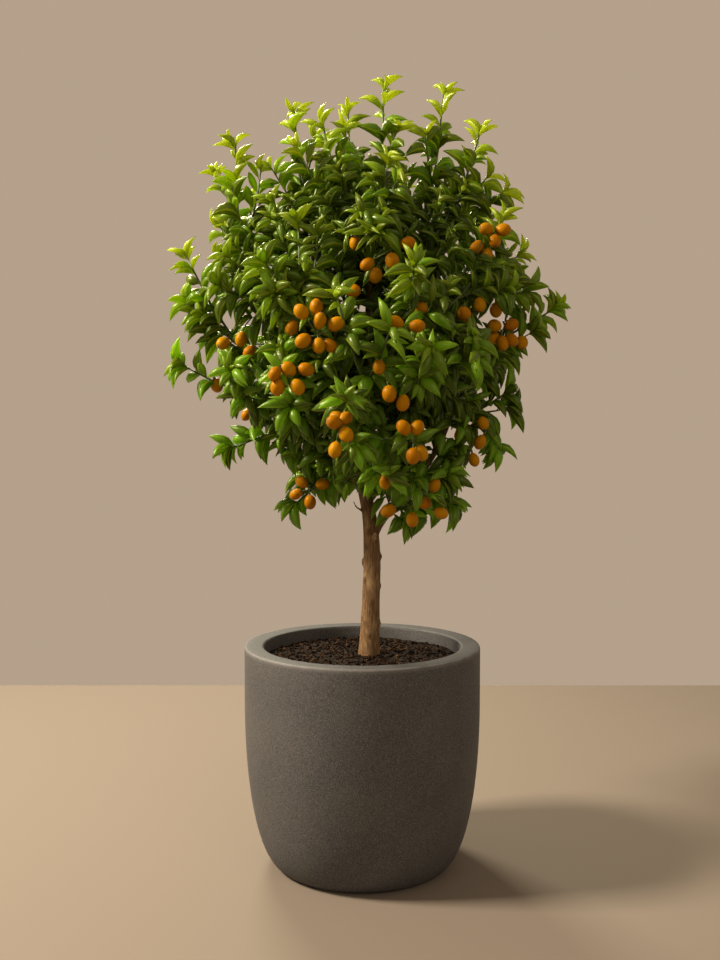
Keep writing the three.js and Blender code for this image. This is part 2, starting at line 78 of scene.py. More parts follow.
# %% Lamps
LAMPS = [  # name, place, the point it is turned to, size, watts, colour
    ("key_lamp", (-3.0, -0.5, 3.2), (0, 0, 0.95), 0.8, 375, (1.0, 0.86, 0.68)),
    ("fill_lamp", (1.4, -3.2, 2.2), (0, 0, 0.8), 2.0, 23, (1.0, 0.85, 0.66)),
    ("back_lamp", (-1.0, 2.6, 2.9), (0, 0, 1.25), 1.0, 150, (1.0, 0.91, 0.70)),
]
for name, place, aim, size, watts, colour in LAMPS:
    turn = (Vector(aim) - Vector(place)).to_track_quat("-Z", "Y").to_euler()
    bpy.ops.object.light_add(type="AREA", location=place, rotation=turn)
    lamp = bpy.context.object
    lamp.name = name
    lamp.data.size = size
    lamp.data.energy = watts
    lamp.data.color = colour

world = bpy.data.worlds.new("soft_sky")
world.use_nodes = True
sky = world.node_tree.nodes["Background"].inputs
sky["Color"].default_value = (0.46, 0.355, 0.26, 1)
sky["Strength"].default_value = 1.0
bpy.context.scene.world = world
bpy.context.scene.view_settings.view_transform = "Standard"
print("lamps:", [row[0] for row in LAMPS])

# %% [markdown]
# ## Helpers for modelling
#
# Everything is modelled as by hand: a primitive is added, opened in edit mode, a part of it is picked
# by its place, and an operator moves, scales or extrudes what is picked. An operator acts on all that
# is selected, so the selection is cleared before each new step.

# %% Picking and shaping


def choose(*pieces):
    """Selects these objects alone, and makes the first one active."""
    bpy.ops.object.select_all(action="DESELECT")
    for piece in pieces:
        piece.select_set(True)
    bpy.context.view_layer.objects.active = pieces[0]


def open_piece(piece):
    choose(piece)
    bpy.ops.object.mode_set(mode="EDIT")
    bpy.ops.mesh.select_mode(type="VERT")


def close_piece():
    bpy.ops.object.mode_set(mode="OBJECT")


def close_outwards():
    """Turns all faces outwards and leaves edit mode."""
    pick_all()
    bpy.ops.mesh.normals_make_consistent(inside=False)
    close_piece()


def pick(test):
    """In edit mode: selects the points whose place passes the test."""
    mesh = bmesh.from_edit_mesh(bpy.context.edit_object.data)
    for point in mesh.verts:
        point.select = bool(test(point.co))
    mesh.select_flush_mode()
    bmesh.update_edit_mesh(bpy.context.edit_object.data)


def pick_all():
    bpy.ops.mesh.select_all(action="SELECT")


def pick_none():
    bpy.ops.mesh.select_all(action="DESELECT")


def move(shift):
    bpy.ops.transform.translate(value=shift)


def resize(factors, centre=(0, 0, 0)):
    bpy.ops.transform.resize(value=factors, center_override=centre)


def extrude(shift):
    bpy.ops.mesh.extrude_region_move(TRANSFORM_OT_translate={"value": shift})


def empty_piece(name):
    bpy.ops.object.select_all(action="DESELECT")
    bpy.ops.object.add(type="MESH", location=(0, 0, 0))
    bpy.context.object.name = name
    return bpy.context.object


def apply_all(piece):
    """Applies the piece's modifiers, in their order."""
    choose(piece)
    for modifier in list(piece.modifiers):
        bpy.ops.object.modifier_apply(modifier=modifier.name)


def triangles(piece):
    return sum(len(face.vertices) - 2 for face in piece.data.polygons)


# %% [markdown]
# ## Helpers for finishes
#
# A finish is a small tree of nodes round one Principled shader. Patterns read Object coordinates, which
# are metres here, so a noise scale of 400 gives marks of about 2.5 mm.

# %% Nodes


def new_finish(name):
    finish = bpy.data.materials.new(name)
    finish.use_nodes = True
    return finish, finish.node_tree, finish.node_tree.nodes["Principled BSDF"]


def feed(tree, made, inputs):
    """Fills a node's inputs. Each takes a number, a colour, or another node's socket."""
    for key, value in inputs.items():
        socket = made.inputs[key]
        if isinstance(value, bpy.types.NodeSocket):
            tree.links.new(value, socket)
        else:
            socket.default_value = (*value, 1) if socket.type == "RGBA" else value


def node(tree, kind, inputs=None, **settings):
    made = tree.nodes.new("ShaderNode" + kind)
    for key, value in settings.items():
        setattr(made, key, value)
    feed(tree, made, inputs or {})
    return made


def maths(tree, operation, *values):
    return node(tree, "Math", dict(enumerate(values)), operation=operation).outputs["Value"]


def place_of(tree, stretch=(1, 1, 1)):
    """Object coordinates, stretched."""
    coordinates = node(tree, "TexCoord").outputs["Object"]
    return node(tree, "Mapping", {"Vector": coordinates, "Scale": stretch}).outputs["Vector"]


def height_of(tree):
    return node(tree, "SeparateXYZ", {"Vector": place_of(tree)}).outputs["Z"]


def tone_of(tree):
    """The tone and the youth that each copy carries."""
    tone = node(tree, "Attribute", attribute_name="tone").outputs["Color"]
    parts = node(tree, "SeparateColor", {"Color": tone}).outputs
    return parts["Red"], parts["Green"]


def cloud(tree, where, scale, detail=3.0, roughness=0.5):
    return node(tree, "TexNoise", {
        "Vector": where, "Scale": scale, "Detail": detail, "Roughness": roughness}).outputs["Fac"]


def cells(tree, where, scale):
    return node(tree, "TexVoronoi", {"Vector": where, "Scale": scale}).outputs["Distance"]


def sharpen(tree, value, low, high, to_low=0.0, to_high=1.0):
    """Spreads the range from low to high over to_low to to_high, and holds the ends."""
    return node(tree, "MapRange", {
        "Value": value, "From Min": low, "From Max": high, "To Min": to_low, "To Max": to_high,
    }).outputs["Result"]


def blend(tree, share, first, second, kind="MIX"):
    """A mix of two colours, which are inputs 6 and 7 of the node."""
    return node(tree, "Mix", {"Factor": share, 6: first, 7: second},
                data_type="RGBA", blend_type=kind).outputs[2]


def raise_surface(tree, shader, height, depth, strength):
    """Bump: height from 0 to 1 over a depth in metres."""
    bump = node(tree, "Bump", {"Height": height, "Distance": depth, "Strength": strength})
    feed(tree, shader, {"Normal": bump.outputs["Normal"]})


# %% Floor
FLOOR_SIZE = 12
FLOOR_BACK = 1.45
bpy.ops.mesh.primitive_plane_add(size=FLOOR_SIZE, location=(0, FLOOR_BACK - FLOOR_SIZE / 2, 0))
floor = bpy.context.object
floor.name = "floor"
floor_finish, tree, shader = new_finish("pale_floor")
feed(tree, shader, {"Base Color": (0.175, 0.144, 0.113), "Roughness": 0.9})
floor.data.materials.append(floor_finish)
floor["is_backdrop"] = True

# %% [markdown]
# ## The planter
#
# It is a thick bowl cast in a mould: round base, walls that straighten towards the top, and a broad
# flat rim with softened edges. A lathe outline would do; here a circle is extruded ring by ring up the
# outside, over the rim and down the inside, which gives the same form and keeps each ring's height and
# radius in one list. Three drain holes are cut through the floor with a boolean.

# %% Planter outline
POT_HEIGHT = 430
POT_RADIUS = 230
POT_SHOULDER = 319
POT_BASE_RADIUS = 157
POT_CURVE = 2.1
RIM_INNER_RADIUS = 192
RIM_SOFTNESS = 4.5
RIM_FALL = 0.6  # from its outer to its inner edge
FLOOR_THICKNESS = 30
WALL_THICKNESS = 32
WALL_RINGS = 34


def bowl_radius(z):
    depth = min(max(1 - z / POT_SHOULDER, 0), 1)
    return POT_BASE_RADIUS + (POT_RADIUS - POT_BASE_RADIUS) * (1 - depth ** POT_CURVE) ** (1 / POT_CURVE)


def soft_edge(radius, z, start):
    """A quarter turn of outline round an edge, from the angle start, as (radius, height)."""
    turns = [start + pi / 2 * i / 5 for i in range(6)]
    return [(radius + RIM_SOFTNESS * cos(t), z + RIM_SOFTNESS * sin(t)) for t in turns]


planter_outline = [(POT_BASE_RADIUS - 6, 0), (POT_BASE_RADIUS, 0.4)]
for i in range(WALL_RINGS):
    z = POT_SHOULDER * (1 - cos(pi / 2 * (i + 1) / WALL_RINGS))
    planter_outline.append((bowl_radius(z), z))
planter_outline += [(POT_RADIUS, 350), (POT_RADIUS, 390)]
planter_outline += soft_edge(POT_RADIUS - RIM_SOFTNESS, POT_HEIGHT - RIM_SOFTNESS, 0)
planter_outline += [(POT_RADIUS - 14, POT_HEIGHT), (RIM_INNER_RADIUS + 12, POT_HEIGHT - RIM_FALL)]
planter_outline += soft_edge(
    RIM_INNER_RADIUS + RIM_SOFTNESS, POT_HEIGHT - RIM_SOFTNESS - RIM_FALL, pi / 2)
planter_outline += [(RIM_INNER_RADIUS, 404), (RIM_INNER_RADIUS, 300)]
for z in (230, 160, 110, 75, 50):
    planter_outline.append((min(bowl_radius(z) - WALL_THICKNESS, RIM_INNER_RADIUS), z))
planter_outline.append((POT_BASE_RADIUS - WALL_THICKNESS, FLOOR_THICKNESS))
print("planter outline:", len(planter_outline), "rings")

# %% Planter shape
DRAIN_HOLES = 3
DRAIN_RADIUS = 10
DRAIN_CIRCLE = 75


def turned_vessel(name, outline, sides):
    """A filled circle extruded from ring to ring of an outline of (radius, height)."""
    radius, z = outline[0]
    bpy.ops.mesh.primitive_circle_add(
        vertices=sides, radius=radius * MM, fill_type="NGON", location=(0, 0, z * MM))
    vessel = bpy.context.object
    vessel.name = name
    bpy.ops.object.transform_apply()
    open_piece(vessel)
    pick_all()
    for (radius, z), (next_radius, next_z) in zip(outline, outline[1:]):
        extrude((0, 0, (next_z - z) * MM))
        share = next_radius / radius
        resize((share, share, 1), (0, 0, next_z * MM))
    close_outwards()
    return vessel


planter = turned_vessel("planter", planter_outline, 112)
for i in range(DRAIN_HOLES):
    turn = 2 * pi * i / DRAIN_HOLES
    bpy.ops.mesh.primitive_cylinder_add(
        vertices=24, radius=DRAIN_RADIUS * MM, depth=3 * FLOOR_THICKNESS * MM,
        location=(DRAIN_CIRCLE * MM * cos(turn), DRAIN_CIRCLE * MM * sin(turn), 0))
    drill = bpy.context.object
    hole = planter.modifiers.new("drain", "BOOLEAN")
    hole.operation = "DIFFERENCE"
    hole.object = drill
    apply_all(planter)
    bpy.data.objects.remove(drill)
choose(planter)
bpy.ops.object.shade_smooth_by_angle(angle=radians(30))
print("planter:", triangles(planter), "triangles")

# %% [markdown]
# ### The planter's finish
#
# Fibre-cement coloured right through: charcoal with a fine sandy speckle and faint cloudy patches from
# the mould. The flat top of the rim is darker with painted shade, and its outer arris is paler with a
# painted highlight in patches. The sand is also a shallow bump, so it catches the light.

# %% Charcoal cast stone
cast_stone, tree, shader = new_finish("cast_stone")
where = place_of(tree)
patches = sharpen(tree, cloud(tree, where, 9, 4), 0.35, 0.65)
grains = cloud(tree, where, 520, 2, 0.7)
flecks = sharpen(tree, grains, 0.42, 0.66)
colour = blend(tree, patches, (0.044, 0.044, 0.046), (0.062, 0.060, 0.058))
dark_sand = blend(tree, 0.38, colour, (0.015, 0.015, 0.015))
pale_sand = blend(tree, 0.28, colour, (0.26, 0.255, 0.25))
colour = blend(tree, flecks, dark_sand, pale_sand)
height = height_of(tree)
from_axis = node(tree, "VectorMath", {0: place_of(tree, (1, 1, 0))}, operation="LENGTH").outputs["Value"]
# Painted shade: the flat top of the rim is made darker, standing in for shade that falls on it.
painted_shade_rim_top = maths(tree, "MULTIPLY", sharpen(tree, height, 0.4250, 0.4285),
                 sharpen(tree, from_axis, 0.2285, 0.2262))
colour = blend(tree, painted_shade_rim_top, colour, blend(tree, 0.80, colour, (0.010, 0.010, 0.010)))
# Painted highlight: the outer arris of the rim is made paler, broken into patches by noise.
arris_highlight_mask = maths(tree, "MULTIPLY", sharpen(tree, from_axis, 0.2255, 0.2285),
              sharpen(tree, height, 0.4200, 0.4265))
highlight_patches = sharpen(tree, cloud(tree, where, 40, 3), 0.3, 0.6, 0.35, 0.8)
colour = blend(tree, maths(tree, "MULTIPLY", arris_highlight_mask, highlight_patches), colour, (0.14, 0.135, 0.13))
feed(tree, shader, {"Base Color": colour, "Specular IOR Level": 0.45,
                    "Roughness": sharpen(tree, grains, 0.3, 0.7, 0.72, 0.56)})
raise_surface(tree, shader, grains, 0.0009, 0.55)
planter.data.materials.append(cast_stone)
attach(planter, "root")
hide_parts("pot")

# %% [markdown]
# ## The soil
#
# A dark, crumbly mix fills the planter to about 25 mm below its rim and rises a little towards the
# stem. Its body is turned like the planter. On top lie loose crumbs and bark chips, modelled once as
# three rough lumps with few faces and then copied over the surface by a seeded rule.

# %% Soil bed
SOIL_EDGE = 404
SOIL_MOUND = 411
SEAT_GAP = 0.35
SURFACE_RING = 7  # between the rings of its surface


def soil_height(x, y):
    """Height of the soil's surface, in millimetres, with its lumps."""
    radius = hypot(x, y)
    lumps = noise.noise(Vector((x, y, 0)) / 34) * 2.6 + noise.noise(Vector((x, y, 50)) / 11) * 1.6
    return SOIL_EDGE + (SOIL_MOUND - SOIL_EDGE) * (1 - radius / RIM_INNER_RADIUS) + lumps


soil_outline = [(POT_BASE_RADIUS - WALL_THICKNESS - SEAT_GAP, FLOOR_THICKNESS + SEAT_GAP)]
soil_outline += [(bowl_radius(z) - WALL_THICKNESS - SEAT_GAP, z) for z in (50, 75, 110)]
soil_radius = RIM_INNER_RADIUS - SEAT_GAP
soil_outline += [(soil_radius, 190), (soil_radius, SOIL_EDGE - 4)]
soil_outline += [(soil_radius - SURFACE_RING * i, SOIL_EDGE) for i in range(27)]
soil_bed = turned_vessel("soil_bed", soil_outline, 90)
open_piece(soil_bed)
mesh = bmesh.from_edit_mesh(soil_bed.data)
for point in mesh.verts:
    if point.co.z > (SOIL_EDGE - 1) * MM:
        point.co.z = soil_height(point.co.x / MM, point.co.y / MM) * MM
bmesh.update_edit_mesh(soil_bed.data)
close_piece()
bpy.ops.object.shade_smooth()
print("soil bed:", triangles(soil_bed), "triangles")

# %% Seeded numbers
SEED = 20113
STREAM_STEP = 7919
SOLID_STREAM, SPRAY_STREAM, INNER_STREAM = 1, 201, 401  # the first stream of each kind
BUNCH_STREAM, SINGLES_STREAM, CRUMB_STREAM = 601, 700, 900
FACTOR, SUMMAND, MODULUS = 1664525, 1013904223, 4294967296


def number_stream(seed):
    """A stream of numbers spread evenly from 0 to 1, the same on every run and in the solids' source."""
    state = (SEED + seed * STREAM_STEP) % MODULUS

    def draw():
        nonlocal state
        state = (state * FACTOR + SUMMAND) % MODULUS
        return state / MODULUS

    return draw


# %% Tone of a copy


def tint(piece, tone, youth=0.0):
    """Gives every point of a mesh the same tone and youth, which its finish reads."""
    layer = piece.data.attributes.get("tone") or piece.data.attributes.new("tone", "FLOAT_COLOR", "POINT")
    layer.data.foreach_set("color", [tone, youth, 0.0, 1.0] * len(piece.data.vertices))


def copy_of(model, matrix, tone, youth=0.0):
    """A copy with a mesh of its own, which the matrix puts in its place."""
    made = bpy.data.objects.new(model.name, model.data.copy())
    bpy.context.collection.objects.link(made)
    made.data.transform(matrix)
    tint(made, tone, youth)
    return made


# %% Crumbs
CRUMBS = 2600
STEM_X = 14
STEM_CLEARANCE = 21
CRUMB_SHAPES = [  # name, stretch, seed
    ("round_crumb", (1, 0.85, 0.7), 3),
    ("flat_crumb", (1, 0.7, 0.45), 7),
    ("bark_chip", (1.7, 0.5, 0.32), 11),
]


def crumb_model(name, stretch, seed):
    bpy.ops.mesh.primitive_ico_sphere_add(subdivisions=1, radius=1)
    crumb = bpy.context.object
    crumb.name = name
    open_piece(crumb)
    pick_all()
    resize(stretch)
    bpy.ops.transform.vertex_random(offset=0.42, uniform=1.0, normal=0.0, seed=seed)
    close_piece()
    return crumb


crumb_models = [crumb_model(*row) for row in CRUMB_SHAPES]
random = number_stream(CRUMB_STREAM)
crumbs = []
for i in range(CRUMBS):
    radius, turn = (RIM_INNER_RADIUS - 6) * sqrt(random()), 2 * pi * random()
    x, y = radius * cos(turn), radius * sin(turn)
    size = 1.5 + 3.0 * random() ** 2
    model = crumb_models[int(3 * random())]
    spin = Matrix.Rotation(2 * pi * random(), 4, "Z") @ Matrix.Rotation(1.6 * (random() - 0.5), 4, "X")
    tone = random()
    if hypot(x - STEM_X, y) > STEM_CLEARANCE:
        place = Vector((x, y, soil_height(x, y) + 0.35 * size)) * MM
        crumbs.append(copy_of(model, Matrix.Translation(place) @ spin @ Matrix.Scale(size * MM, 4), tone))
choose(*crumbs)
bpy.ops.object.join()
soil_crumbs = bpy.context.object
soil_crumbs.name = "soil_crumbs"
for model in crumb_models:
    bpy.data.objects.remove(model)
print("crumbs:", triangles(soil_crumbs), "triangles")

# %% Soil finish


def soil_finish(name, by_crumb):
    """Damp and dry patches. Crumbs are dry one by one, the bed in patches."""
    finish, tree, shader = new_finish(name)
    damp = cloud(tree, place_of(tree), 260, 4, 0.65)
    dry = sharpen(tree, tone_of(tree)[0], 0.45, 1.0) if by_crumb else sharpen(tree, damp, 0.5, 0.75)
    colour = blend(tree, dry, (0.005, 0.0028, 0.0014), (0.075, 0.038, 0.016))
    colour = blend(tree, sharpen(tree, damp, 0.35, 0.7, 0, 0.6), colour, (0.007, 0.0042, 0.0027))
    feed(tree, shader, {"Base Color": colour, "Roughness": 0.88, "Specular IOR Level": 0.08})
    raise_surface(tree, shader, damp, 0.002, 0.8)
    return finish


soil_bed.data.materials.append(soil_finish("potting_soil", False))
soil_crumbs.data.materials.append(soil_finish("soil_crumb", True))
for piece in (soil_bed, soil_crumbs):
    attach(piece, "root")
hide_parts("soil")

# %% [markdown]
# ## The wood
#
# A clear grey-brown stem forks below the crown and carries a dozen scaffold limbs. Each limb follows a
# smooth curve through a few points, the same as in the solids. Here each one is a ring extruded along
# its curve and scaled at every step. A voxel remesh then melts the limbs into the stem, so the crotches
# get the soft collars that grown wood has, and a smooth modifier takes the steps away.

# %% Limb tables
TRUNK = [  # place, radius
    [12, 0, 345, 27], [13, 0, 395, 24], [14, 0, 430, 20.5], [17, 0, 520, 17.5], [19, 0, 600, 17],
    [14, 0, 680, 14.5], [2, 0, 740, 12.5], [-4, 4, 800, 11], [3, 8, 900, 9.5], [10, 5, 1010, 8],
    [13, 0, 1120, 6.5], [15, 0, 1220, 5],
]
LIMBS = {
    "right_fork": [[18, 0, 630, 8], [36, -4, 668, 7.5], [62, -10, 700, 7], [108, -20, 755, 6],
                   [150, -25, 825, 5.2], [180, -20, 900, 4.4]],
    "left_low": [[4, 0, 728, 7], [-40, -10, 775, 6.5], [-105, -20, 835, 5.6], [-170, -15, 925, 4.4]],
    "front_low": [[-2, 2, 755, 7], [-2, -65, 805, 6.2], [-10, -130, 860, 5.4], [-15, -180, 925, 4.4]],
    "back_low": [[-4, 2, 775, 7], [12, 75, 825, 6.2], [20, 145, 885, 5.4], [20, 190, 955, 4.4]],
    "front_right": [[2, 7, 870, 6.5], [65, -60, 925, 5.8], [110, -115, 985, 5], [135, -145, 1050, 4.2]],
    "back_left": [[2, 8, 885, 6.5], [-60, 65, 945, 5.8], [-105, 112, 1005, 5], [-125, 135, 1070, 4.2]],
    "back_right": [[4, 8, 920, 6.2], [72, 70, 975, 5.6], [112, 108, 1040, 4.8], [125, 125, 1100, 4]],
    "front_left": [[5, 7, 935, 6.2], [-60, -50, 985, 5.6], [-105, -98, 1040, 4.8], [-122, -118, 1100, 4]],
    "upper_left": [[10, 5, 1030, 5.8], [-45, 5, 1090, 5], [-90, 10, 1160, 4]],
    "upper_right": [[10, 4, 1050, 5.8], [70, -5, 1110, 5], [110, -10, 1180, 4]],
    "upper_front": [[12, 3, 1075, 5.5], [15, -55, 1135, 4.8], [20, -95, 1200, 4]],
    "upper_back": [[13, 1, 1090, 5.5], [10, 62, 1155, 4.8], [5, 98, 1220, 4]],
}
STEMS = {"trunk": TRUNK, **LIMBS}
ROOTS = 4
ROOT_REACH = 95
ROOT_DROP = 75
ROOT_START = 25  # above the trunk's lower end

# %% Smooth curve through points


def curve_point(points, t):
    """A centripetal Catmull-Rom curve at t from 0 to 1."""
    place = t * (len(points) - 1)
    i = min(int(place), len(points) - 2)
    w = place - i
    b, c = points[i], points[i + 1]
    a = points[i - 1] if i > 0 else 2 * b - c
    d = points[i + 2] if i + 2 < len(points) else 2 * c - b
    ab, bc, cd = ((p - q).length ** 0.5 for p, q in ((a, b), (b, c), (c, d)))
    leave = ((b - a) / ab - (c - a) / (ab + bc) + (c - b) / bc) * bc
    arrive = ((c - b) / bc - (d - b) / (bc + cd) + (d - c) / cd) * bc
    bend, twist = 3 * (c - b) - 2 * leave - arrive, 2 * (b - c) + leave + arrive
    return b + leave * w + bend * w * w + twist * w ** 3


def even_places(points, shares):
    """Points at shares of the curve's length, with the t of each."""
    ts = [i / 200 for i in range(201)]
    path = [curve_point(points, t) for t in ts]
    lengths = [0.0]
    for a, b in zip(path, path[1:]):
        lengths.append(lengths[-1] + (b - a).length)
    found = []
    for share in shares:
        goal = share * lengths[-1]
        i = max(k for k in range(200) if lengths[k] <= goal)
        t = ts[i] + (goal - lengths[i]) / (lengths[i + 1] - lengths[i]) / 200
        found.append((curve_point(points, t), t))
    return found


def limb_place(name, share):
    return even_places([Vector(row[:3]) for row in STEMS[name]], [share])[0][0]


# %% Stems


def bowed_line(start, middle, end, shares):
    """Points of a curve from start to end, drawn towards the middle point."""
    return [start * (1 - s) ** 2 + middle * 2 * s * (1 - s) + end * s * s for s in shares]


def draw_stem(points, radii, sides):
    """In edit mode: a ring at the first point, extruded and scaled from point to point."""
    turned = (points[-1] - points[0]).to_track_quat("Z", "Y").to_euler()
    pick_none()
    bpy.ops.mesh.primitive_circle_add(
        vertices=sides, radius=radii[0] * MM, fill_type="NGON", location=points[0] * MM, rotation=turned)
    for i in range(1, len(points)):
        extrude((points[i] - points[i - 1]) * MM)
        share = radii[i] / radii[i - 1]
        resize((share, share, share), points[i] * MM)


wood = empty_piece("bark_wood")
open_piece(wood)
for name, rows in STEMS.items():
    rings, sides = (44, 14) if name == "trunk" else (18, 9)
    found = even_places([Vector(row[:3]) for row in rows], [i / rings for i in range(rings + 1)])
    radii = []
    for centre, t in found:
        place = t * (len(rows) - 1)
        i = min(int(place), len(rows) - 2)
        radius = rows[i][3] + (rows[i + 1][3] - rows[i][3]) * (place - i)
        radii.append(radius * (1 + 0.035 * noise.noise(centre / 28)))
    draw_stem([centre for centre, _ in found], radii, sides)
foot = Vector(TRUNK[0][:3]) + Vector((0, 0, ROOT_START))
shares = [k / 8 for k in range(9)]
for i in range(ROOTS):
    turn = 0.5 + 2 * pi * i / ROOTS
    out = Vector((cos(turn), sin(turn), 0))
    end = foot + out * ROOT_REACH - Vector((0, 0, ROOT_DROP))
    draw_stem(bowed_line(foot, foot + out * ROOT_REACH / 2, end, shares), [9 - 5 * s for s in shares], 9)

# %% Knots and a dry stub
KNOTS = [  # place, radius
    [3, -8, 486, 5.5], [32.5, -6, 545, 5], [6, -9, 560, 5], [34, -3, 602, 5], [27, -14, 640, 6],
    [14, -16, 452, 6], [31, 2, 470, 6], [4, 8, 590, 6], [22, 15, 525, 5], [10, -14, 655, 5],
]
KNOT_STRETCH = 1.7
STUB = [Vector((4, -6, 688)), Vector((-12, -14, 700)), Vector((-18, -16, 712))]
for x, y, z, radius in KNOTS:
    place = (x * MM, y * MM, z * MM)
    pick_none()
    bpy.ops.mesh.primitive_uv_sphere_add(segments=12, ring_count=8, radius=radius * MM, location=place)
    resize((1, 1, KNOT_STRETCH), place)
draw_stem(STUB, [3.2, 2.4, 1.8], 7)
close_outwards()
melt = wood.modifiers.new("melt", "REMESH")
melt.mode = "VOXEL"
melt.voxel_size = 2.4 * MM
calm = wood.modifiers.new("calm", "SMOOTH")
calm.factor = 0.5
calm.iterations = 5
apply_all(wood)
bpy.ops.object.shade_smooth()
print("wood:", triangles(wood), "triangles")

# %% [markdown]
# ### Bark
#
# Young citrus bark is smooth and grey-brown, with fine upright grain, pale healed streaks and small dark
# lenticels, and greener high up. Noise stretched tall gives the grain and the streaks, Voronoi cells the
# lenticels.

# %% Bark finish
bark, tree, shader = new_finish("bark")
grain = cloud(tree, place_of(tree, (1, 1, 0.16)), 420, 5, 0.6)
streak = sharpen(tree, cloud(tree, place_of(tree, (1, 1, 0.3)), 70, 3, 0.55), 0.5, 0.68, 0, 0.7)
speck = sharpen(tree, cells(tree, place_of(tree, (1, 1, 0.55)), 85), 0.10, 0.02, 0, 0.75)
colour = blend(tree, sharpen(tree, grain, 0.35, 0.68), (0.082, 0.041, 0.015), (0.23, 0.135, 0.058))
colour = blend(tree, streak, colour, (0.36, 0.24, 0.12))
colour = blend(tree, speck, colour, (0.032, 0.017, 0.007))
greener = blend(tree, 0.45, colour, (0.10, 0.11, 0.035))
colour = blend(tree, sharpen(tree, height_of(tree), 0.70, 1.0), colour, greener)
feed(tree, shader, {"Base Color": colour, "Roughness": 0.72, "Specular IOR Level": 0.25})
raise_surface(tree, shader, grain, 0.0022, 0.75)
wood.data.materials.append(bark)
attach(wood, "root")
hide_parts("trunk_and_limbs")

# %% [markdown]
# ## Shoots
#
# A spray is a main shoot and sometimes side shoots, each a bowed line from a limb to a tip. The rule and
# the tips are those of the solids, so each finer spray lies where its solid is. The tree also carries
# side branches, which stand out of the dense crown beside the tips, and many short twigs, which fill
# it. The solids leave both out. They grow from the same shoots by a second stream of numbers.

# %% Spray table
SPRAYS = [  # limb, share of its length, then the place and the bow of each tip
    ["trunk", 1, [40, 0, 1500, 0.03]],
    ["upper_right", 0.62, [157, 20, 1497, 0.04]],
    ["upper_right", 1, [223, -20, 1411, 0.06], [272, 10, 1308, 0.08]],
    ["upper_front", 0.95, [44, -180, 1320, 0.1], [10, -228, 1185, -0.04]],
    ["upper_front", 0.55, [-73, -70, 1418, 0.06]],
    ["upper_back", 1, [-28, 60, 1470, 0.05]],
    ["upper_left", 0.75, [-131, 10, 1460, 0.04]],
    ["upper_left", 1, [-165, -70, 1272, 0.08]],
    ["back_left", 0.9, [-280, 20, 1342, 0.05]],
    ["front_left", 0.85, [-241, -20, 1391, 0.16]],
    ["left_low", 1, [-341, 0, 1186, 0.04], [-340, 35, 1098, 0.06]],
    ["left_low", 0.9, [-346, -20, 974, 0.05]],
    ["left_low", 0.68, [-250, -30, 815, -0.02]],
    ["left_low", 0.3, [-130, 0, 705, 0.02]],
    ["front_left", 0.68, [-246, -75, 1167, 0.08]],
    ["left_low", 0.8, [-230, -185, 955, 0.05]],
    ["front_right", 1, [256, -90, 1236, 0.08], [302, -75, 1106, 0.05]],
    ["back_right", 1, [309, 60, 1194, 0.08]],
    ["right_fork", 1, [370, 0, 1082, -0.09]],
    ["right_fork", 0.86, [273, -22, 918, 0.03], [257, 33, 814, -0.1]],
    ["right_fork", 0.42, [168, -30, 705, -0.02], [155, -95, 765, -0.05]],
    ["front_low", 1, [-112, -205, 1210, 0.12]],
    ["front_right", 0.78, [83, -294, 1120, 0.1]],
    ["front_low", 0.9, [46, -342, 1016, 0.06], [-42, -328, 1068, 0.05]],
    ["front_right", 0.55, [112, -312, 985, 0.05], [185, -235, 1000, 0.05]],
    ["front_low", 0.8, [-30, -358, 895, -0.04]],
    ["front_low", 0.5, [-12, -325, 828, 0.02], [86, -298, 830, -0.04]],
    ["front_left", 1, [-150, -228, 1082, 0.05]],
    ["left_low", 0.48, [-138, -270, 950, -0.04]],
    ["front_low", 0.25, [43, -250, 770, 0.02], [120, -165, 730, -0.04]],
    ["back_low", 1, [15, 355, 1045, 0.05]],
    ["back_low", 0.82, [-90, 330, 905, -0.04], [100, 325, 880, -0.04]],
    ["back_low", 0.5, [20, 295, 790, 0.02]],
    ["back_low", 0.28, [-120, 205, 745, 0.02], [130, 215, 745, -0.04]],
    ["back_left", 1, [-190, 285, 1125, 0.06], [-165, 185, 1275, 0.06]],
    ["back_left", 0.62, [-300, 165, 1035, 0.04]],
    ["back_left", 0.38, [-205, 235, 905, -0.06]],
    ["back_right", 0.86, [205, 265, 1110, 0.06], [215, 130, 1300, 0.08]],
    ["back_right", 0.55, [290, 185, 1000, 0.04]],
    ["back_right", 0.3, [225, 190, 880, -0.06]],
    ["upper_back", 0.8, [-75, 170, 1345, 0.08], [75, 180, 1335, 0.08]],
    ["upper_back", 0.45, [10, 290, 1220, 0.1]],
]
SHOOT_RADIUS = 2.5
SHOOT_TIP_RADIUS = 1.2
SHOOT_STEPS = 3
SIDE_SHOOT_AT = 0.3

# %% Shoot rule


def square_axes(along):
    """Two directions square to a shoot: one level, one across it."""
    level = Vector((along.y, -along.x, 0))
    if level.length < 0.05:
        level = Vector((1, 0, 0))
    level.normalize()
    return level, -level.cross(along)


def shoot_from(foot, target):
    """A bowed shoot from its foot to a tip, whose fourth number is the bow."""
    tip = Vector(target[:3])
    along = (tip - foot).normalized()
    length = (tip - foot).length
    sag = (Vector((0, 0, -1)) + along * along.z).normalized()
    middle = (foot + tip) / 2 + sag * 2 * length * target[3]
    shares = [i / SHOOT_STEPS for i in range(SHOOT_STEPS + 1)]
    return {"steps": bowed_line(foot, middle, tip, shares), "length": length, "axes": square_axes(along)}


def shoot_point(shoot, u):
    i = min(int(u * SHOOT_STEPS), SHOOT_STEPS - 1)
    return shoot["steps"][i].lerp(shoot["steps"][i + 1], u * SHOOT_STEPS - i)


def shoot_direction(shoot, u):
    i = min(int(u * SHOOT_STEPS), SHOOT_STEPS - 1)
    return (shoot["steps"][i + 1] - shoot["steps"][i]).normalized()


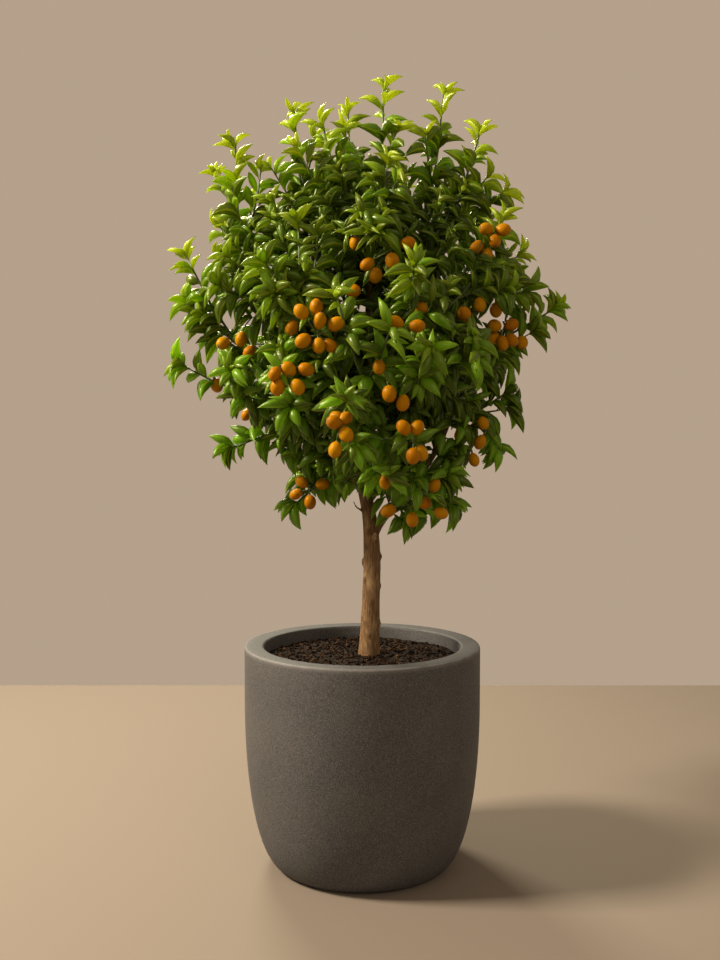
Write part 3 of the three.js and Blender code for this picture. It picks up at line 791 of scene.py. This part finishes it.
# %% Side branches and twigs
GOLDEN_ANGLE = 2.399963
CROWN_CENTRE = Vector((14, 0, 1085))
CROWN_REACH = Vector((365, 350, 390))
DENSE_CROWN = 0.72  # the share of the crown that twigs fill; the long shoots stand out of it
TWIG_FEET_WITHIN = DENSE_CROWN - 0.04
BRANCHES_WITHIN = 0.88
TWIG_SPACING = 22
TWIG_END = 0.62  # no twigs beyond this share of a shoot
TWIGS_RISE_ABOVE = 860
SHORTEST_TWIG = 45
SHORTEST_BRANCH = 60
TWO_BRANCHES_FROM = 260  # the length of a shoot


def share_of(value, low, high):
    """0 at low, 1 at high, and held there beyond."""
    return min(max((value - low) / (high - low), 0), 1)


def crown_share(point):
    """0 at the crown's middle, 1 on its skin."""
    return Vector(a / b for a, b in zip(point - CROWN_CENTRE, CROWN_REACH)).length


def opened(along, axes, turn, opening):
    """A direction that leaves another by the angle opening, to the side that turn gives."""
    side = axes[0] * cos(turn) + axes[1] * sin(turn)
    return along * cos(opening) + side * sin(opening)


def twig_from(foot, direction, length, random):
    """A short twig that reaches out and up towards the light, and stays inside the crown."""
    lift = Vector((0, 0, 0.22 if foot.z > TWIGS_RISE_ABOVE else -0.05))
    outward = (foot - CROWN_CENTRE).normalized()
    heading = (direction + lift + 0.4 * outward).normalized()
    limit = DENSE_CROWN - 0.16 + 0.22 * random()
    while length > SHORTEST_TWIG and crown_share(foot + heading * length) > limit:
        length *= 0.85
    return shoot_from(foot, [*(foot + heading * length), 0.07 * (random() - 0.3)])


def twigs_on(shoot, random):
    """Twigs of 95 to 170 mm round a shoot, shorter towards its tip. All grow in the dense crown."""
    twigs = []
    count = int(shoot["length"] * TWIG_END / TWIG_SPACING)
    phase = 2 * pi * random()
    for k in range(count):
        u = 0.06 + TWIG_END * (k + 0.5 * random()) / count
        foot, opening = shoot_point(shoot, u), 0.7 + 0.35 * random()
        heading = opened(shoot_direction(shoot, u), shoot["axes"], phase + k * GOLDEN_ANGLE, opening)
        twig = twig_from(foot, heading, (95 + 75 * random()) * (1 - 0.45 * u), random)
        if crown_share(foot) < TWIG_FEET_WITHIN:
            twigs.append(twig)
    return twigs


def side_branches(shoot, random):
    """Long leafy branches of a shoot, which stand out of the dense crown beside its tip."""
    branches = []
    for k, u in enumerate((0.36, 0.54) if shoot["length"] > TWO_BRANCHES_FROM else (0.45,)):
        foot = shoot_point(shoot, u)
        turn = pi * (k + 0.5) + 1.6 * (random() - 0.5)
        heading = opened(shoot_direction(shoot, u), shoot["axes"], turn, 0.42 + 0.25 * random())
        heading = (heading + Vector((0, 0, 0.2))).normalized()
        length = shoot["length"] * (0.36 + 0.2 * random())
        while length > 40 and crown_share(foot + heading * length) > BRANCHES_WITHIN:
            length *= 0.92
        bow = 0.08 * (random() - 0.2)
        if length > SHORTEST_BRANCH:
            branches.append(shoot_from(foot, [*(foot + heading * length), bow]))
    return branches


# %% [markdown]
# ## The leaf
#
# A kumquat leaf is 50 to 60 mm long, glossy, folded along its midrib and arched like a sickle down to a
# point. It could be a flat card with a picture, but a card has no fold and no shine along it. Here a
# six-sided cylinder becomes the leaf: cuts give it stations, five of its edges become the blade's upper
# side and one the rib below, and each station is scaled and moved. Seven are modelled, then copied.

# %% Leaf models
LEAF_LENGTH = 58
LEAF_WIDTH = 23
LEAF_OUTLINE = [  # share of the length, share of the width
    (0.0, 0.055), (0.08, 0.07), (0.18, 0.50), (0.34, 0.92), (0.54, 1.0), (0.74, 0.74), (0.89, 0.36),
]
LEAVES = [  # name, width, fold, arch, curl, twist
    ("leaf_a", 0.92, 0.15, 0.18, 0.06, 0.10), ("leaf_b", 0.82, 0.24, 0.21, 0.12, -0.18),
    ("leaf_c", 0.98, 0.09, 0.20, 0.18, 0.20), ("leaf_d", 0.88, 0.20, 0.15, 0.02, -0.08),
    ("leaf_e", 0.90, 0.12, 0.24, 0.12, 0.30),
]
YOUNG_LEAVES = [
    ("young_leaf_a", 0.76, 0.28, 0.20, 0.06, 0.14), ("young_leaf_b", 0.70, 0.22, 0.24, 0.12, -0.18),
]


def leaf_model(name, width, fold, arch, curl, twist):
    """A leaf along +Y from the origin, its face up. The shape numbers are shares of width or length."""
    bpy.ops.mesh.primitive_cylinder_add(
        vertices=6, radius=1, depth=1, location=(0, 0.5, 0), rotation=(radians(90), radians(30), 0))
    leaf = bpy.context.object
    leaf.name = name
    bpy.ops.object.transform_apply()
    open_piece(leaf)
    for share, _ in LEAF_OUTLINE[1:]:
        pick_all()
        bpy.ops.mesh.bisect(plane_co=(0, share, 0), plane_no=(0, 1, 0))
    columns = [  # where each edge of the cylinder is, and where the blade needs it
        (90, (0, 0.0)), (30, (0.55, 0.62 * fold)), (150, (-0.55, 0.62 * fold)),
        (-30, (1, fold)), (-150, (-1, fold)), (-90, (0, -0.11)),
    ]
    mesh = bmesh.from_edit_mesh(leaf.data)
    found = []
    for degrees, (x, z) in columns:
        now = Vector((cos(radians(degrees)), 0, sin(radians(degrees))))
        found.append(([p for p in mesh.verts if (Vector((p.co.x, 0, p.co.z)) - now).length < 0.1],
                      Vector((x - now.x, 0, z - now.z))))
    for points, shift in found:
        bmesh.ops.translate(mesh, verts=points, vec=shift)
    flat = mesh.loops.layers.uv.verify()
    for face in mesh.faces:
        for loop in face.loops:
            loop[flat].uv = (0.5 + loop.vert.co.x / 2, loop.vert.co.y)
        face.material_index = 1 if face.normal.z < -0.5 else 0
    bmesh.update_edit_mesh(leaf.data)
    for share, spread in LEAF_OUTLINE:
        half = LEAF_WIDTH * width * spread / 2
        deep = half if spread > 0.2 else 5 * half  # the stalk is round
        rise = 4 * arch * share * (1 - share) - curl * share * share
        pick(lambda p: abs(p.y - share) < 0.01)
        bpy.ops.transform.rotate(value=twist * share, orient_axis="Y", center_override=(0, share, 0))
        resize((half, 1, deep), (0, share, 0))
        move((0, 0, rise * LEAF_LENGTH))
    pick(lambda p: p.y > 0.99)
    move((0, 0, -curl * LEAF_LENGTH))
    bpy.ops.mesh.merge(type="CENTER")
    pick_all()
    resize((1, LEAF_LENGTH, 1))
    resize((MM, MM, MM))
    close_outwards()
    bpy.ops.object.shade_smooth_by_angle(angle=radians(65))
    return leaf


leaf_models = [leaf_model(*row) for row in LEAVES]
young_models = [leaf_model(*row) for row in YOUNG_LEAVES]
print("leaf:", triangles(leaf_models[0]), "triangles,", len(leaf_models) + len(young_models), "models")

# %% [markdown]
# ### The leaf's finish
#
# The blade is waxy above and matt and paler below, with a light midrib, faint side veins and a thin
# light margin. Light also passes through it, which makes the young tips glow, so a translucent shader
# is mixed in. The pattern follows the leaf by its UV map, across and along. Each leaf carries its tone,
# from dark to pale, and its youth. Both also carry painted light and shade: leaves deep in the crown get
# a darker tone as painted shade, and high leaves on its skin a paler youth as painted light.

# %% Leaf finish
TONE_RANGE = 6.2  # the palest grown leaf is this many times as light as the darkest
VEIN_WAVES = 62.0
PASSED_LIGHT = (2.9, 2.4, 0.8)  # the blade's colour is multiplied by it for the light that passes through


def leaf_finish(name, old, young, glow_share, roughness, veins):
    finish, tree, shader = new_finish(name)
    tone, youth = tone_of(tree)
    spot = node(tree, "SeparateXYZ", {"Vector": node(tree, "TexCoord").outputs["UV"]}).outputs
    across = maths(tree, "ABSOLUTE", maths(tree, "SUBTRACT", spot["X"], 0.5))
    rib = sharpen(tree, across, 0.034, 0.008, 0, 0.45)
    margin = sharpen(tree, across, 0.43, 0.49, 0, 0.75)
    slant = maths(tree, "MULTIPLY_ADD", across, 0.45, spot["Y"])
    vein = sharpen(tree, maths(tree, "SINE", maths(tree, "MULTIPLY", slant, VEIN_WAVES)), 0.80, 1.0)
    patch = sharpen(tree, cloud(tree, place_of(tree), 60, 2), 0.4, 0.7, 0, 0.35)
    colour = blend(tree, tone, old, tuple(TONE_RANGE * c for c in old))
    colour = blend(tree, patch, colour, (0.095, 0.13, 0.005))
    colour = blend(tree, youth, colour, young)
    colour = blend(tree, maths(tree, "MULTIPLY", vein, veins), colour, (0.15, 0.21, 0.012))
    colour = blend(tree, maths(tree, "MAXIMUM", rib, margin), colour, (0.34, 0.41, 0.03))
    feed(tree, shader, {"Base Color": colour, "Roughness": roughness, "Specular IOR Level": 0.50,
                        "Specular Tint": (0.95, 1.0, 0.66)})
    relief = maths(tree, "MULTIPLY_ADD", vein, 0.35, cloud(tree, place_of(tree), 330, 2))
    raise_surface(tree, shader, relief, 0.0006, 0.5)
    glow = node(tree, "BsdfTranslucent", {"Color": blend(tree, 1.0, colour, PASSED_LIGHT, "MULTIPLY")})
    mixed = node(tree, "MixShader", {0: glow_share, 1: shader.outputs["BSDF"], 2: glow.outputs["BSDF"]})
    feed(tree, tree.nodes["Material Output"], {"Surface": mixed.outputs["Shader"]})
    return finish


leaf_face = leaf_finish("leaf_face", (0.030, 0.066, 0.002), (0.30, 0.40, 0.014), 0.42, 0.31, 0.10)
leaf_back = leaf_finish("leaf_back", (0.060, 0.102, 0.005), (0.31, 0.41, 0.018), 0.40, 0.60, 0.25)
for model in leaf_models + young_models:
    model.data.materials.append(leaf_face)
    model.data.materials.append(leaf_back)

shoot_bark, tree, shader = new_finish("shoot_bark")
grain = cloud(tree, place_of(tree, (1, 1, 0.4)), 500, 3)
colour = blend(tree, sharpen(tree, grain, 0.35, 0.65), (0.030, 0.052, 0.008), (0.085, 0.125, 0.018))
feed(tree, shader, {"Base Color": colour, "Roughness": 0.55})
raise_surface(tree, shader, grain, 0.0008, 0.5)

# %% [markdown]
# ## Leaves along a shoot
#
# A shoot that runs sideways bears its leaves in two rows, one that comes forward or goes back bears them
# all round in a golden spiral. Leaves open about sixty degrees, droop more in the lower crown, and turn
# their faces up, out and a little to the front. Six drawn numbers place a leaf, as in the solids'
# source. A high shoot ends in a tuft of young leaves, a lower one in a rosette.

# %% Leaf rule
LEAF_SPACING = 32
TWIG_LEAF_SPACING = 13
BRANCH_LEAF_SPACING = 19
LEAF_START = 0.2
LEAF_END = 0.985
LOW_CROWN = 700
HIGH_CROWN = 1100
ROSETTES_BELOW = 1150
TWO_ROWED = 0.5  # a shoot that runs less than this to the front or back bears its leaves in two rows
FACES_TURN = Vector((0, -0.35, 0.6))
FIFTH_OF_A_TURN = 1.257


def leaf_at(shoot, u, turn, opening, size, arch, roll, young):
    """Where a leaf stands: its foot, the way it points, the way its face looks."""
    foot, direction = shoot_point(shoot, u), shoot_direction(shoot, u)
    axis = opened(direction, shoot["axes"], turn, opening)
    axis.z -= (0.15 + 0.5 * share_of(foot.z, HIGH_CROWN, LOW_CROWN)) * sin(opening)
    axis.normalize()
    outward = Vector((foot.x, foot.y, 0)).normalized()
    face = FACES_TURN + 0.3 * direction + 0.5 * outward
    face = (face - axis * face.dot(axis)).normalized()
    face = Matrix.Rotation(roll, 3, axis) @ face
    return {"foot": foot, "axis": axis, "face": face, "size": size, "arch": arch, "young": young}


def leaf_plan(shoot, number, count, random):
    u = LEAF_START + (LEAF_END - LEAF_START) * (number + 1 - 0.3 * random()) / count
    rows = abs((shoot["steps"][-1] - shoot["steps"][0]).normalized().y) < TWO_ROWED
    turn = pi * (number + 0.5) if rows else number * GOLDEN_ANGLE
    turn += (1.3 if rows else 0.6) * (random() - 0.5)
    young = max(0, (u - 0.7) / 0.3)
    opening = 1.1 - 0.3 * young + 0.3 * (random() - 0.5)
    size = (0.88 + 0.24 * random()) * (1 - 0.22 * young)
    arch = 0.21 + 0.10 * (random() - 0.5)
    return leaf_at(shoot, u, turn, opening, size, arch, 0.8 * (random() - 0.5), young)


def leaves_along(shoot, count, random):
    return [leaf_plan(shoot, number, count, random) for number in range(count)]


def tip_tuft(shoot, size, random):
    """The last leaves of a high shoot: an opposite pair, then a small one, then one still unfolding."""
    phase = 2 * pi * random()
    rows = [(0, 0.72, 0.80), (pi, 0.78, 0.70), (1.4, 0.55, 0.50), (4.3, 0.25, 0.36)]
    return [leaf_at(shoot, LEAF_END, phase + turn + 0.5 * random(), opening + 0.2 * (random() - 0.5),
                    size * share, 0.18, 0.6 * (random() - 0.5), 1.0) for turn, opening, share in rows]


def rosette(shoot, random):
    """The last leaves of a lower shoot: five grown ones round two small new ones."""
    phase = 2 * pi * random()
    rows = [(FIFTH_OF_A_TURN * k, 0.95 + 0.12 * (k % 2), 1.02 - 0.05 * k, 0.25) for k in range(5)]
    rows += [(0.6, 0.5, 0.5, 1.0), (3.6, 0.3, 0.4, 1.0)]
    return [leaf_at(shoot, LEAF_END - 0.04 * (young < 1) * random(), phase + turn + 0.4 * random(),
                    opening + 0.2 * (random() - 0.5), share, 0.19, 0.6 * (random() - 0.5), young)
            for turn, opening, share, young in rows]


def shoot_end(shoot, size, random):
    high = shoot["steps"][-1].z > ROSETTES_BELOW
    return tip_tuft(shoot, size, random) if high else rosette(shoot, random)


def twig_leaves(twig, random):
    """The leaves of a twig, which are smaller high in the crown."""
    count = max(4, round(twig["length"] / TWIG_LEAF_SPACING))
    plans = leaves_along(twig, count, random) + tip_tuft(twig, 0.8, random)
    for plan in plans:
        plan["size"] *= 1 - 0.2 * share_of(plan["foot"].z, 1000, 1250)
    return plans


# %% [markdown]
# ## Where the fruit hang
#
# Bunches hang near the crown's skin, each from one knuckle on its own shoot, and other fruit hang alone.
# Their places come before the leaves, because a leaf neither grows through a fruit nor lies right over
# one: a fruit that ripens in the light has pushed its leaves aside.

# %% Fruit tables
FRUIT_RADIUS = 11.5
FRUIT_HALF_LENGTH = 14.4
BUNCHES = [  # the knuckle that a bunch hangs from, then the way from it to each fruit
    [[-75, -300, 1008], [4, -8, 23], [-2, 2, 46], [31, -5, 18], [-27, -5, 38], [2, -6, -18],
     [-24, -6, -10], [21, 6, -17]],
    [[-137, -290, 958], [-10, -5, -14], [-6, 4, -36], [28, -4, -36], [12, 6, -6], [42, 8, -6]],
    [[-38, -338, 855], [-9, -8, 8], [9, 6, 14], [11, -9, -12], [-7, -6, -37], [-5, 10, 15]],
    [[84, -314, 828], [-16, -3, 26], [7, 4, 26], [-1, -6, -21], [13, 8, -16]],
    [[88, -150, 716], [-41, 0, -13], [2, -4, -29], [24, 4, 1], [54, 0, -17]],
    [[-102, -40, 734], [-25, 4, -8], [-14, 6, 15], [2, 0, -23], [26, 10, 11]],
    [[238, -112, 1206], [-13, -8, 8], [18, -6, 7], [2, -14, -14], [-10, 0, -37], [-29, 0, -23]],
    [[260, -68, 1034], [-14, -12, 9], [2, -8, -23], [19, -8, -17], [19, 2, 12], [-16, 8, -12]],
    [[234, -58, 846], [-6, -2, 16], [-11, 2, -20]],
    [[47, -228, 1159], [31, 4, 13], [4, -4, -19], [-39, 6, -23]],
    [[71, -316, 1014], [18, -6, 7], [-16, -2, 14]],
    [[8, 322, 990], [-4, 8, -22], [-20, 4, 8], [18, 6, -4]],
    [[-205, 160, 996], [-18, 2, 6], [12, 8, -12], [-4, 10, -24]],
    [[205, 172, 860], [-14, 6, 10], [16, 2, -10], [0, 10, -24]],
    [[12, 212, 1138], [-16, 6, 6], [12, 10, -14], [4, -6, 20]],
]
SINGLES = [
    [-262, -60, 1012], [-228, -60, 1020], [-122, -230, 1026], [-13, -150, 1184], [181, -170, 1056],
    [44, -310, 910], [67, -305, 895], [-281, -10, 935], [39, -235, 760], [133, -120, 748],
    [203, -130, 1020], [303, -40, 1015], [213, -130, 1076], [246, -100, 1070], [210, -70, 793],
    [23, -190, 1121], [-210, -90, 994], [99, -235, 1060], [-17, -235, 1089], [27, -300, 955],
    [-60, 250, 1180], [120, 240, 990], [-160, 230, 1090], [60, 300, 870], [-240, 150, 880],
    [250, 90, 1120],
]
fruit_places = [Vector(middle) + Vector(offset) for middle, *offsets in BUNCHES for offset in offsets]
fruit_places += [Vector(place) for place in SINGLES]
FRUIT_CLEARANCE = 3
OPEN_RADIUS = 12  # of the clear way out in front of a fruit
OPEN_DEPTH = 75
FRONT = Vector((0, -1, 0))
print("places of fruit:", len(fruit_places))


def in_the_way(plan):
    """Whether a leaf would run through a fruit, or hide it from outside the crown or from the front."""
    length, arch = LEAF_LENGTH * plan["size"], plan["arch"]
    spots = [plan["foot"] + plan["axis"] * length * s + plan["face"] * length * 4 * arch * s * (1 - s)
             for s in (0.25, 0.5, 0.75, 1)]
    for fruit in fruit_places:
        if (fruit - plan["foot"]).length > OPEN_DEPTH + LEAF_LENGTH:
            continue
        outward = (fruit - CROWN_CENTRE) * Vector((1, 1, 0.3))
        ways = (outward.normalized(), FRONT) if fruit.y < 0 else (outward.normalized(),)
        for spot in spots:
            away = spot - fruit
            if away.length < FRUIT_RADIUS + FRUIT_CLEARANCE:
                return True
            for way in ways:
                depth = away.dot(way)
                if 0 < depth < OPEN_DEPTH and (away - way * depth).length < OPEN_RADIUS:
                    return True
    return False


# %% Growing a piece
CROWN_EDGE = 398  # no leaf reaches further to the side
MODEL_ARCH = 0.21  # of the leaf models, on the whole
YOUNG_FROM = 0.45
# Between these heights and shares of the crown, leaves also get painted light on the crown's skin and
# painted shade inside it.
HIGH_LEAVES = (900, 1250)  # between these heights leaves become slimmer and paler
SHADE_TO_LIGHT_SHARES = (0.55, 0.95)  # between these shares of the crown they become lighter


def leaf_copy(plan, random):
    """A copied leaf in its place. High leaves are slimmer, high outer ones paler from youth and painted
    light, inner ones painted darker as shade.
    """
    models = young_models if plan["young"] > YOUNG_FROM else leaf_models
    model = models[int(len(models) * random())]
    foot, size = plan["foot"], plan["size"]
    start, reach = abs(foot.x), abs(foot.x + plan["axis"].x * LEAF_LENGTH * size)
    if reach > CROWN_EDGE:
        size *= max(0.3, (CROWN_EDGE - start) / (reach - start))
    high = share_of(foot.z, *HIGH_LEAVES)
    side = plan["axis"].cross(plan["face"]) * size * (1 - 0.24 * high)
    along = plan["axis"] * size
    up = plan["face"] * size * plan["arch"] / MODEL_ARCH
    matrix = Matrix((
        (side.x, along.x, up.x, foot.x * MM),
        (side.y, along.y, up.y, foot.y * MM),
        (side.z, along.z, up.z, foot.z * MM),
        (0, 0, 0, 1)))
    # Painted shade and light: leaves deep in the crown get a darker tone and little youth, leaves high on
    # its skin a paler one.
    out = share_of(crown_share(foot), *SHADE_TO_LIGHT_SHARES)
    youth = plan["young"] * (0.14 + 0.86 * high) * out + 0.42 * high * out * random()
    return copy_of(model, matrix, random() * (0.2 + 0.8 * out), min(youth, 1))


def close_stems(piece):
    """Leaves edit mode and gives drawn stems their finish."""
    close_outwards()
    bpy.ops.object.shade_smooth()
    piece.data.materials.append(shoot_bark)
    tint(piece, 0.5)


def grow(name, shoots, plans, random):
    """One piece: its shoots drawn as stems, and its leaves copied on."""
    piece = empty_piece(name)
    open_piece(piece)
    for shoot, thick in shoots:
        shares = [0, 1 / 3, 2 / 3, 1]
        radii = [thick * (SHOOT_RADIUS + (SHOOT_TIP_RADIUS - SHOOT_RADIUS) * s) for s in shares]
        draw_stem([shoot_point(shoot, s) for s in shares], radii, 6)
    close_stems(piece)
    choose(piece, *[leaf_copy(plan, random) for plan in plans if not in_the_way(plan)])
    bpy.ops.object.join()
    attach(piece, "root")
    return piece


# %% Sprays
MAIN_THICK, BRANCH_THICK, TWIG_THICK, INNER_THICK = 1.3, 0.95, 0.62, 0.7
leaf_total = 0
spray_shoots = []
for i, (limb, at, *tips) in enumerate(SPRAYS):
    main = shoot_from(limb_place(limb, at), tips[0])
    shoots = [main] + [shoot_from(shoot_point(main, SIDE_SHOOT_AT), tip) for tip in tips[1:]]
    counts = [round(shoot["length"] * (LEAF_END - LEAF_START) / LEAF_SPACING) for shoot in shoots]
    shared, own = number_stream(SOLID_STREAM + i), number_stream(SPRAY_STREAM + i)
    plans, stems = [], [(shoot, MAIN_THICK) for shoot in shoots]
    for shoot, count in zip(shoots, counts):
        plans += leaves_along(shoot, count, shared)
    for shoot, count in zip(shoots, counts):
        for number in range(count):
            plans.append(leaf_plan(shoot, number + 0.5, count + 0.5, own))
            for shift in (0.25, 0.75):
                plan = leaf_plan(shoot, number + shift, count + 0.5, own)
                plan["size"] *= 0.65 + 0.35 * own()
                if crown_share(plan["foot"]) > TWIG_FEET_WITHIN:
                    plans.append(plan)
        plans += shoot_end(shoot, 1.0, own)
        for branch in side_branches(shoot, own):
            stems.append((branch, BRANCH_THICK))
            plans += leaves_along(branch, max(3, round(branch["length"] / BRANCH_LEAF_SPACING)), own)
            plans += shoot_end(branch, 0.95, own)
        for twig in twigs_on(shoot, own):
            stems.append((twig, TWIG_THICK))
            plans += twig_leaves(twig, own)
    spray_shoots += [shoot for shoot, _ in stems]
    piece = grow(f"leafy_spray_{i + 1:02d}", stems, plans, own)
    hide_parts(f"spray_{i + 1:02d}")
    leaf_total += len(plans)
print("sprays:", len(SPRAYS), "with", leaf_total, "leaves on", len(spray_shoots), "shoots")

# %% [markdown]
# ## The inner crown
#
# Behind the sprays the limbs themselves carry short leafy twigs, which close the crown and keep its
# middle dark. One piece for each limb.

# %% Twigs on the limbs
INNER_SPACING = 11
for n, (limb, rows) in enumerate(STEMS.items()):
    own = number_stream(INNER_STREAM + n)
    line = [Vector(row[:3]) for row in rows]
    span = even_places(line, [1])[0][0] - line[0]
    along = span.normalized()
    first = 0.45 if limb == "trunk" else 0.22
    count = int(span.length * (1 - first) / INNER_SPACING)
    shares = [first + (1 - first) * k / count for k in range(count)]
    stems, plans = [], []
    for k, (place, _) in enumerate(even_places(line, shares)):
        heading = opened(along, square_axes(along), k * GOLDEN_ANGLE + own(), 1.0 + 0.3 * own())
        twig = twig_from(place, heading, 90 + 70 * own(), own)
        stems.append((twig, INNER_THICK))
        plans += twig_leaves(twig, own)
    grow(f"inner_twigs_{limb}", stems, plans, own)
    spray_shoots += [shoot for shoot, _ in stems]
    leaf_total += len(plans)
print("with the inner crown:", leaf_total, "leaves")

# %% [markdown]
# ## Kumquats
#
# The fruit is an oval about 29 mm long with a dimple where its stalk joins and a tiny scar at the other
# end. A sphere is stretched, its top point pushed in, and a small round calyx is set in the dimple. Each
# bunch lies where its solid is, and single fruit hang where the crown shows them.

# %% Fruit models
CALYX_RADIUS = 2.6


def fruit_model(name, slim, taper):
    """A fruit about the origin with its stalk end up: 0 skin, 1 calyx, 2 scar."""
    bpy.ops.mesh.primitive_uv_sphere_add(segments=18, ring_count=13, radius=1)
    fruit = bpy.context.object
    fruit.name = name
    open_piece(fruit)
    pick(lambda p: p.z > 0.35)
    resize((1 - taper, 1 - taper, 1))
    pick(lambda p: p.z > 0.999)
    move((0, 0, -0.075))
    pick(lambda p: p.z < -0.999)
    move((0, 0, -0.015))
    pick_all()
    resize((FRUIT_RADIUS * slim * MM, FRUIT_RADIUS * slim * MM, FRUIT_HALF_LENGTH * MM))
    pick_none()
    top = FRUIT_HALF_LENGTH * 0.945 * MM
    bpy.ops.mesh.primitive_circle_add(
        vertices=10, radius=CALYX_RADIUS * MM, fill_type="NGON", location=(0, 0, top))
    extrude((0, 0, 0.9 * MM))
    resize((0.55, 0.55, 1), (0, 0, top))
    extrude((0, 0, 1.4 * MM))
    close_piece()
    calyx = [p for p in fruit.data.polygons if p.center.z > 0.9 * top and p.center.xy.length < 3 * MM
             and len(p.vertices) != 3]
    for face in calyx:
        face.material_index = 1
    for face in fruit.data.polygons:
        if face.center.z < -0.985 * FRUIT_HALF_LENGTH * MM:
            face.material_index = 2
    bpy.ops.object.shade_smooth_by_angle(angle=radians(60))
    return fruit


FRUIT = [  # name, slimness, taper
    ("kumquat_a", 1.0, 0.02), ("kumquat_b", 0.95, 0.05), ("kumquat_c", 1.03, 0.0),
]
fruit_models = [fruit_model(*row) for row in FRUIT]

# %% [markdown]
# ### The fruit's finish
#
# The peel is waxy and pitted with oil glands about a millimetre apart. Voronoi cells give the pits, as
# bump and as darker points. The colour runs from deep orange to yellow-orange from fruit to fruit, with
# soft patches of a redder blush.

# %% Peel
peel, tree, shader = new_finish("peel")
pits = cells(tree, place_of(tree), 720)
blush = sharpen(tree, cloud(tree, place_of(tree), 55, 2), 0.3, 0.7, 0, 0.35)
colour = blend(tree, tone_of(tree)[0], (0.325, 0.116, 0.0003), (0.41, 0.188, 0.0005))
colour = blend(tree, blush, colour, (0.35, 0.130, 0.0003))
colour = blend(tree, sharpen(tree, pits, 0.25, 0.05, 0, 0.25), colour, (0.32, 0.092, 0.0006))
feed(tree, shader, {
    "Base Color": colour, "Roughness": 0.36, "Specular IOR Level": 0.16,
    "Specular Tint": (1.0, 0.75, 0.25), "Subsurface Weight": 0.12,
    "Subsurface Radius": (1.0, 0.35, 0.05), "Subsurface Scale": 0.004})
raise_surface(tree, shader, pits, 0.0004, 0.6)

scar, tree, shader = new_finish("fruit_scar")
colour = blend(tree, cloud(tree, place_of(tree), 900, 2), (0.10, 0.045, 0.012), (0.22, 0.11, 0.03))
feed(tree, shader, {"Base Color": colour, "Roughness": 0.8})
for model in fruit_models:
    for finish in (peel, shoot_bark, scar):
        model.data.materials.append(finish)

# %% Bunches
STALK_RADII = [1.7, 1.5, 1.4]  # of a knuckle's stalk, from the shoot down
FRUIT_STALK_RADII = [1.3, 1.1, 1.1]


def nearest_shoot(place):
    """The nearest of twelve points on every shoot."""
    return min((shoot_point(shoot, s / 12) for shoot in spray_shoots for s in range(1, 13)),
               key=lambda point: (point - place).length)


def hang(name, knuckles, random):
    """Fruit copies, each hung by its stalk from a knuckle, and each knuckle from the nearest shoot."""
    piece = empty_piece(name)
    open_piece(piece)
    fruit = []
    for knuckle, centres in knuckles:
        near = nearest_shoot(knuckle)
        draw_stem([near, near.lerp(knuckle, 0.5) + Vector((0, 0, 2)), knuckle], STALK_RADII, 6)
        for centre in centres:
            away = (centre - knuckle - Vector((0, 0, 0.5 * FRUIT_RADIUS))).normalized()
            top = centre - away * FRUIT_HALF_LENGTH * 0.93
            draw_stem([knuckle, top.lerp(knuckle, 0.5), top], FRUIT_STALK_RADII, 6)
            turn = away.to_track_quat("-Z", "Y").to_matrix().to_4x4()
            spin = Matrix.Rotation(6.28 * random(), 4, "Z")
            size = Matrix.Scale(0.93 + 0.12 * random(), 4)
            matrix = Matrix.Translation(centre * MM) @ turn @ spin @ size
            fruit.append(copy_of(fruit_models[int(3 * random())], matrix, random()))
    close_stems(piece)
    choose(piece, *fruit)
    bpy.ops.object.join()
    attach(piece, "root")
    return piece


for i, (middle, *offsets) in enumerate(BUNCHES):
    knuckle = Vector(middle)
    centres = [knuckle + Vector(offset) for offset in offsets]
    bunch = hang(f"kumquat_bunch_{i + 1:02d}", [(knuckle, centres)], number_stream(BUNCH_STREAM + i))
    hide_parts(f"kumquats_{i + 1:02d}")

knuckles = []
for place in SINGLES:
    centre = Vector(place)
    toward = (nearest_shoot(centre) - centre).normalized() + Vector((0, 0, 0.8))
    knuckles.append((centre + toward.normalized() * (FRUIT_HALF_LENGTH + 7), [centre]))
hang("single_kumquats", knuckles, number_stream(SINGLES_STREAM))
print("fruit:", len(fruit_places), "in", len(BUNCHES), "bunches and", len(SINGLES), "alone")

# %% Models that were only copied from
for model in leaf_models + young_models + fruit_models:
    bpy.data.objects.remove(model)

# %% Size, and the end
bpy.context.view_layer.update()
shown = [triangles(piece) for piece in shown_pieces() if piece.type == "MESH"]
print("pieces:", len(shown), "triangles:", sum(shown), "largest:", max(shown))
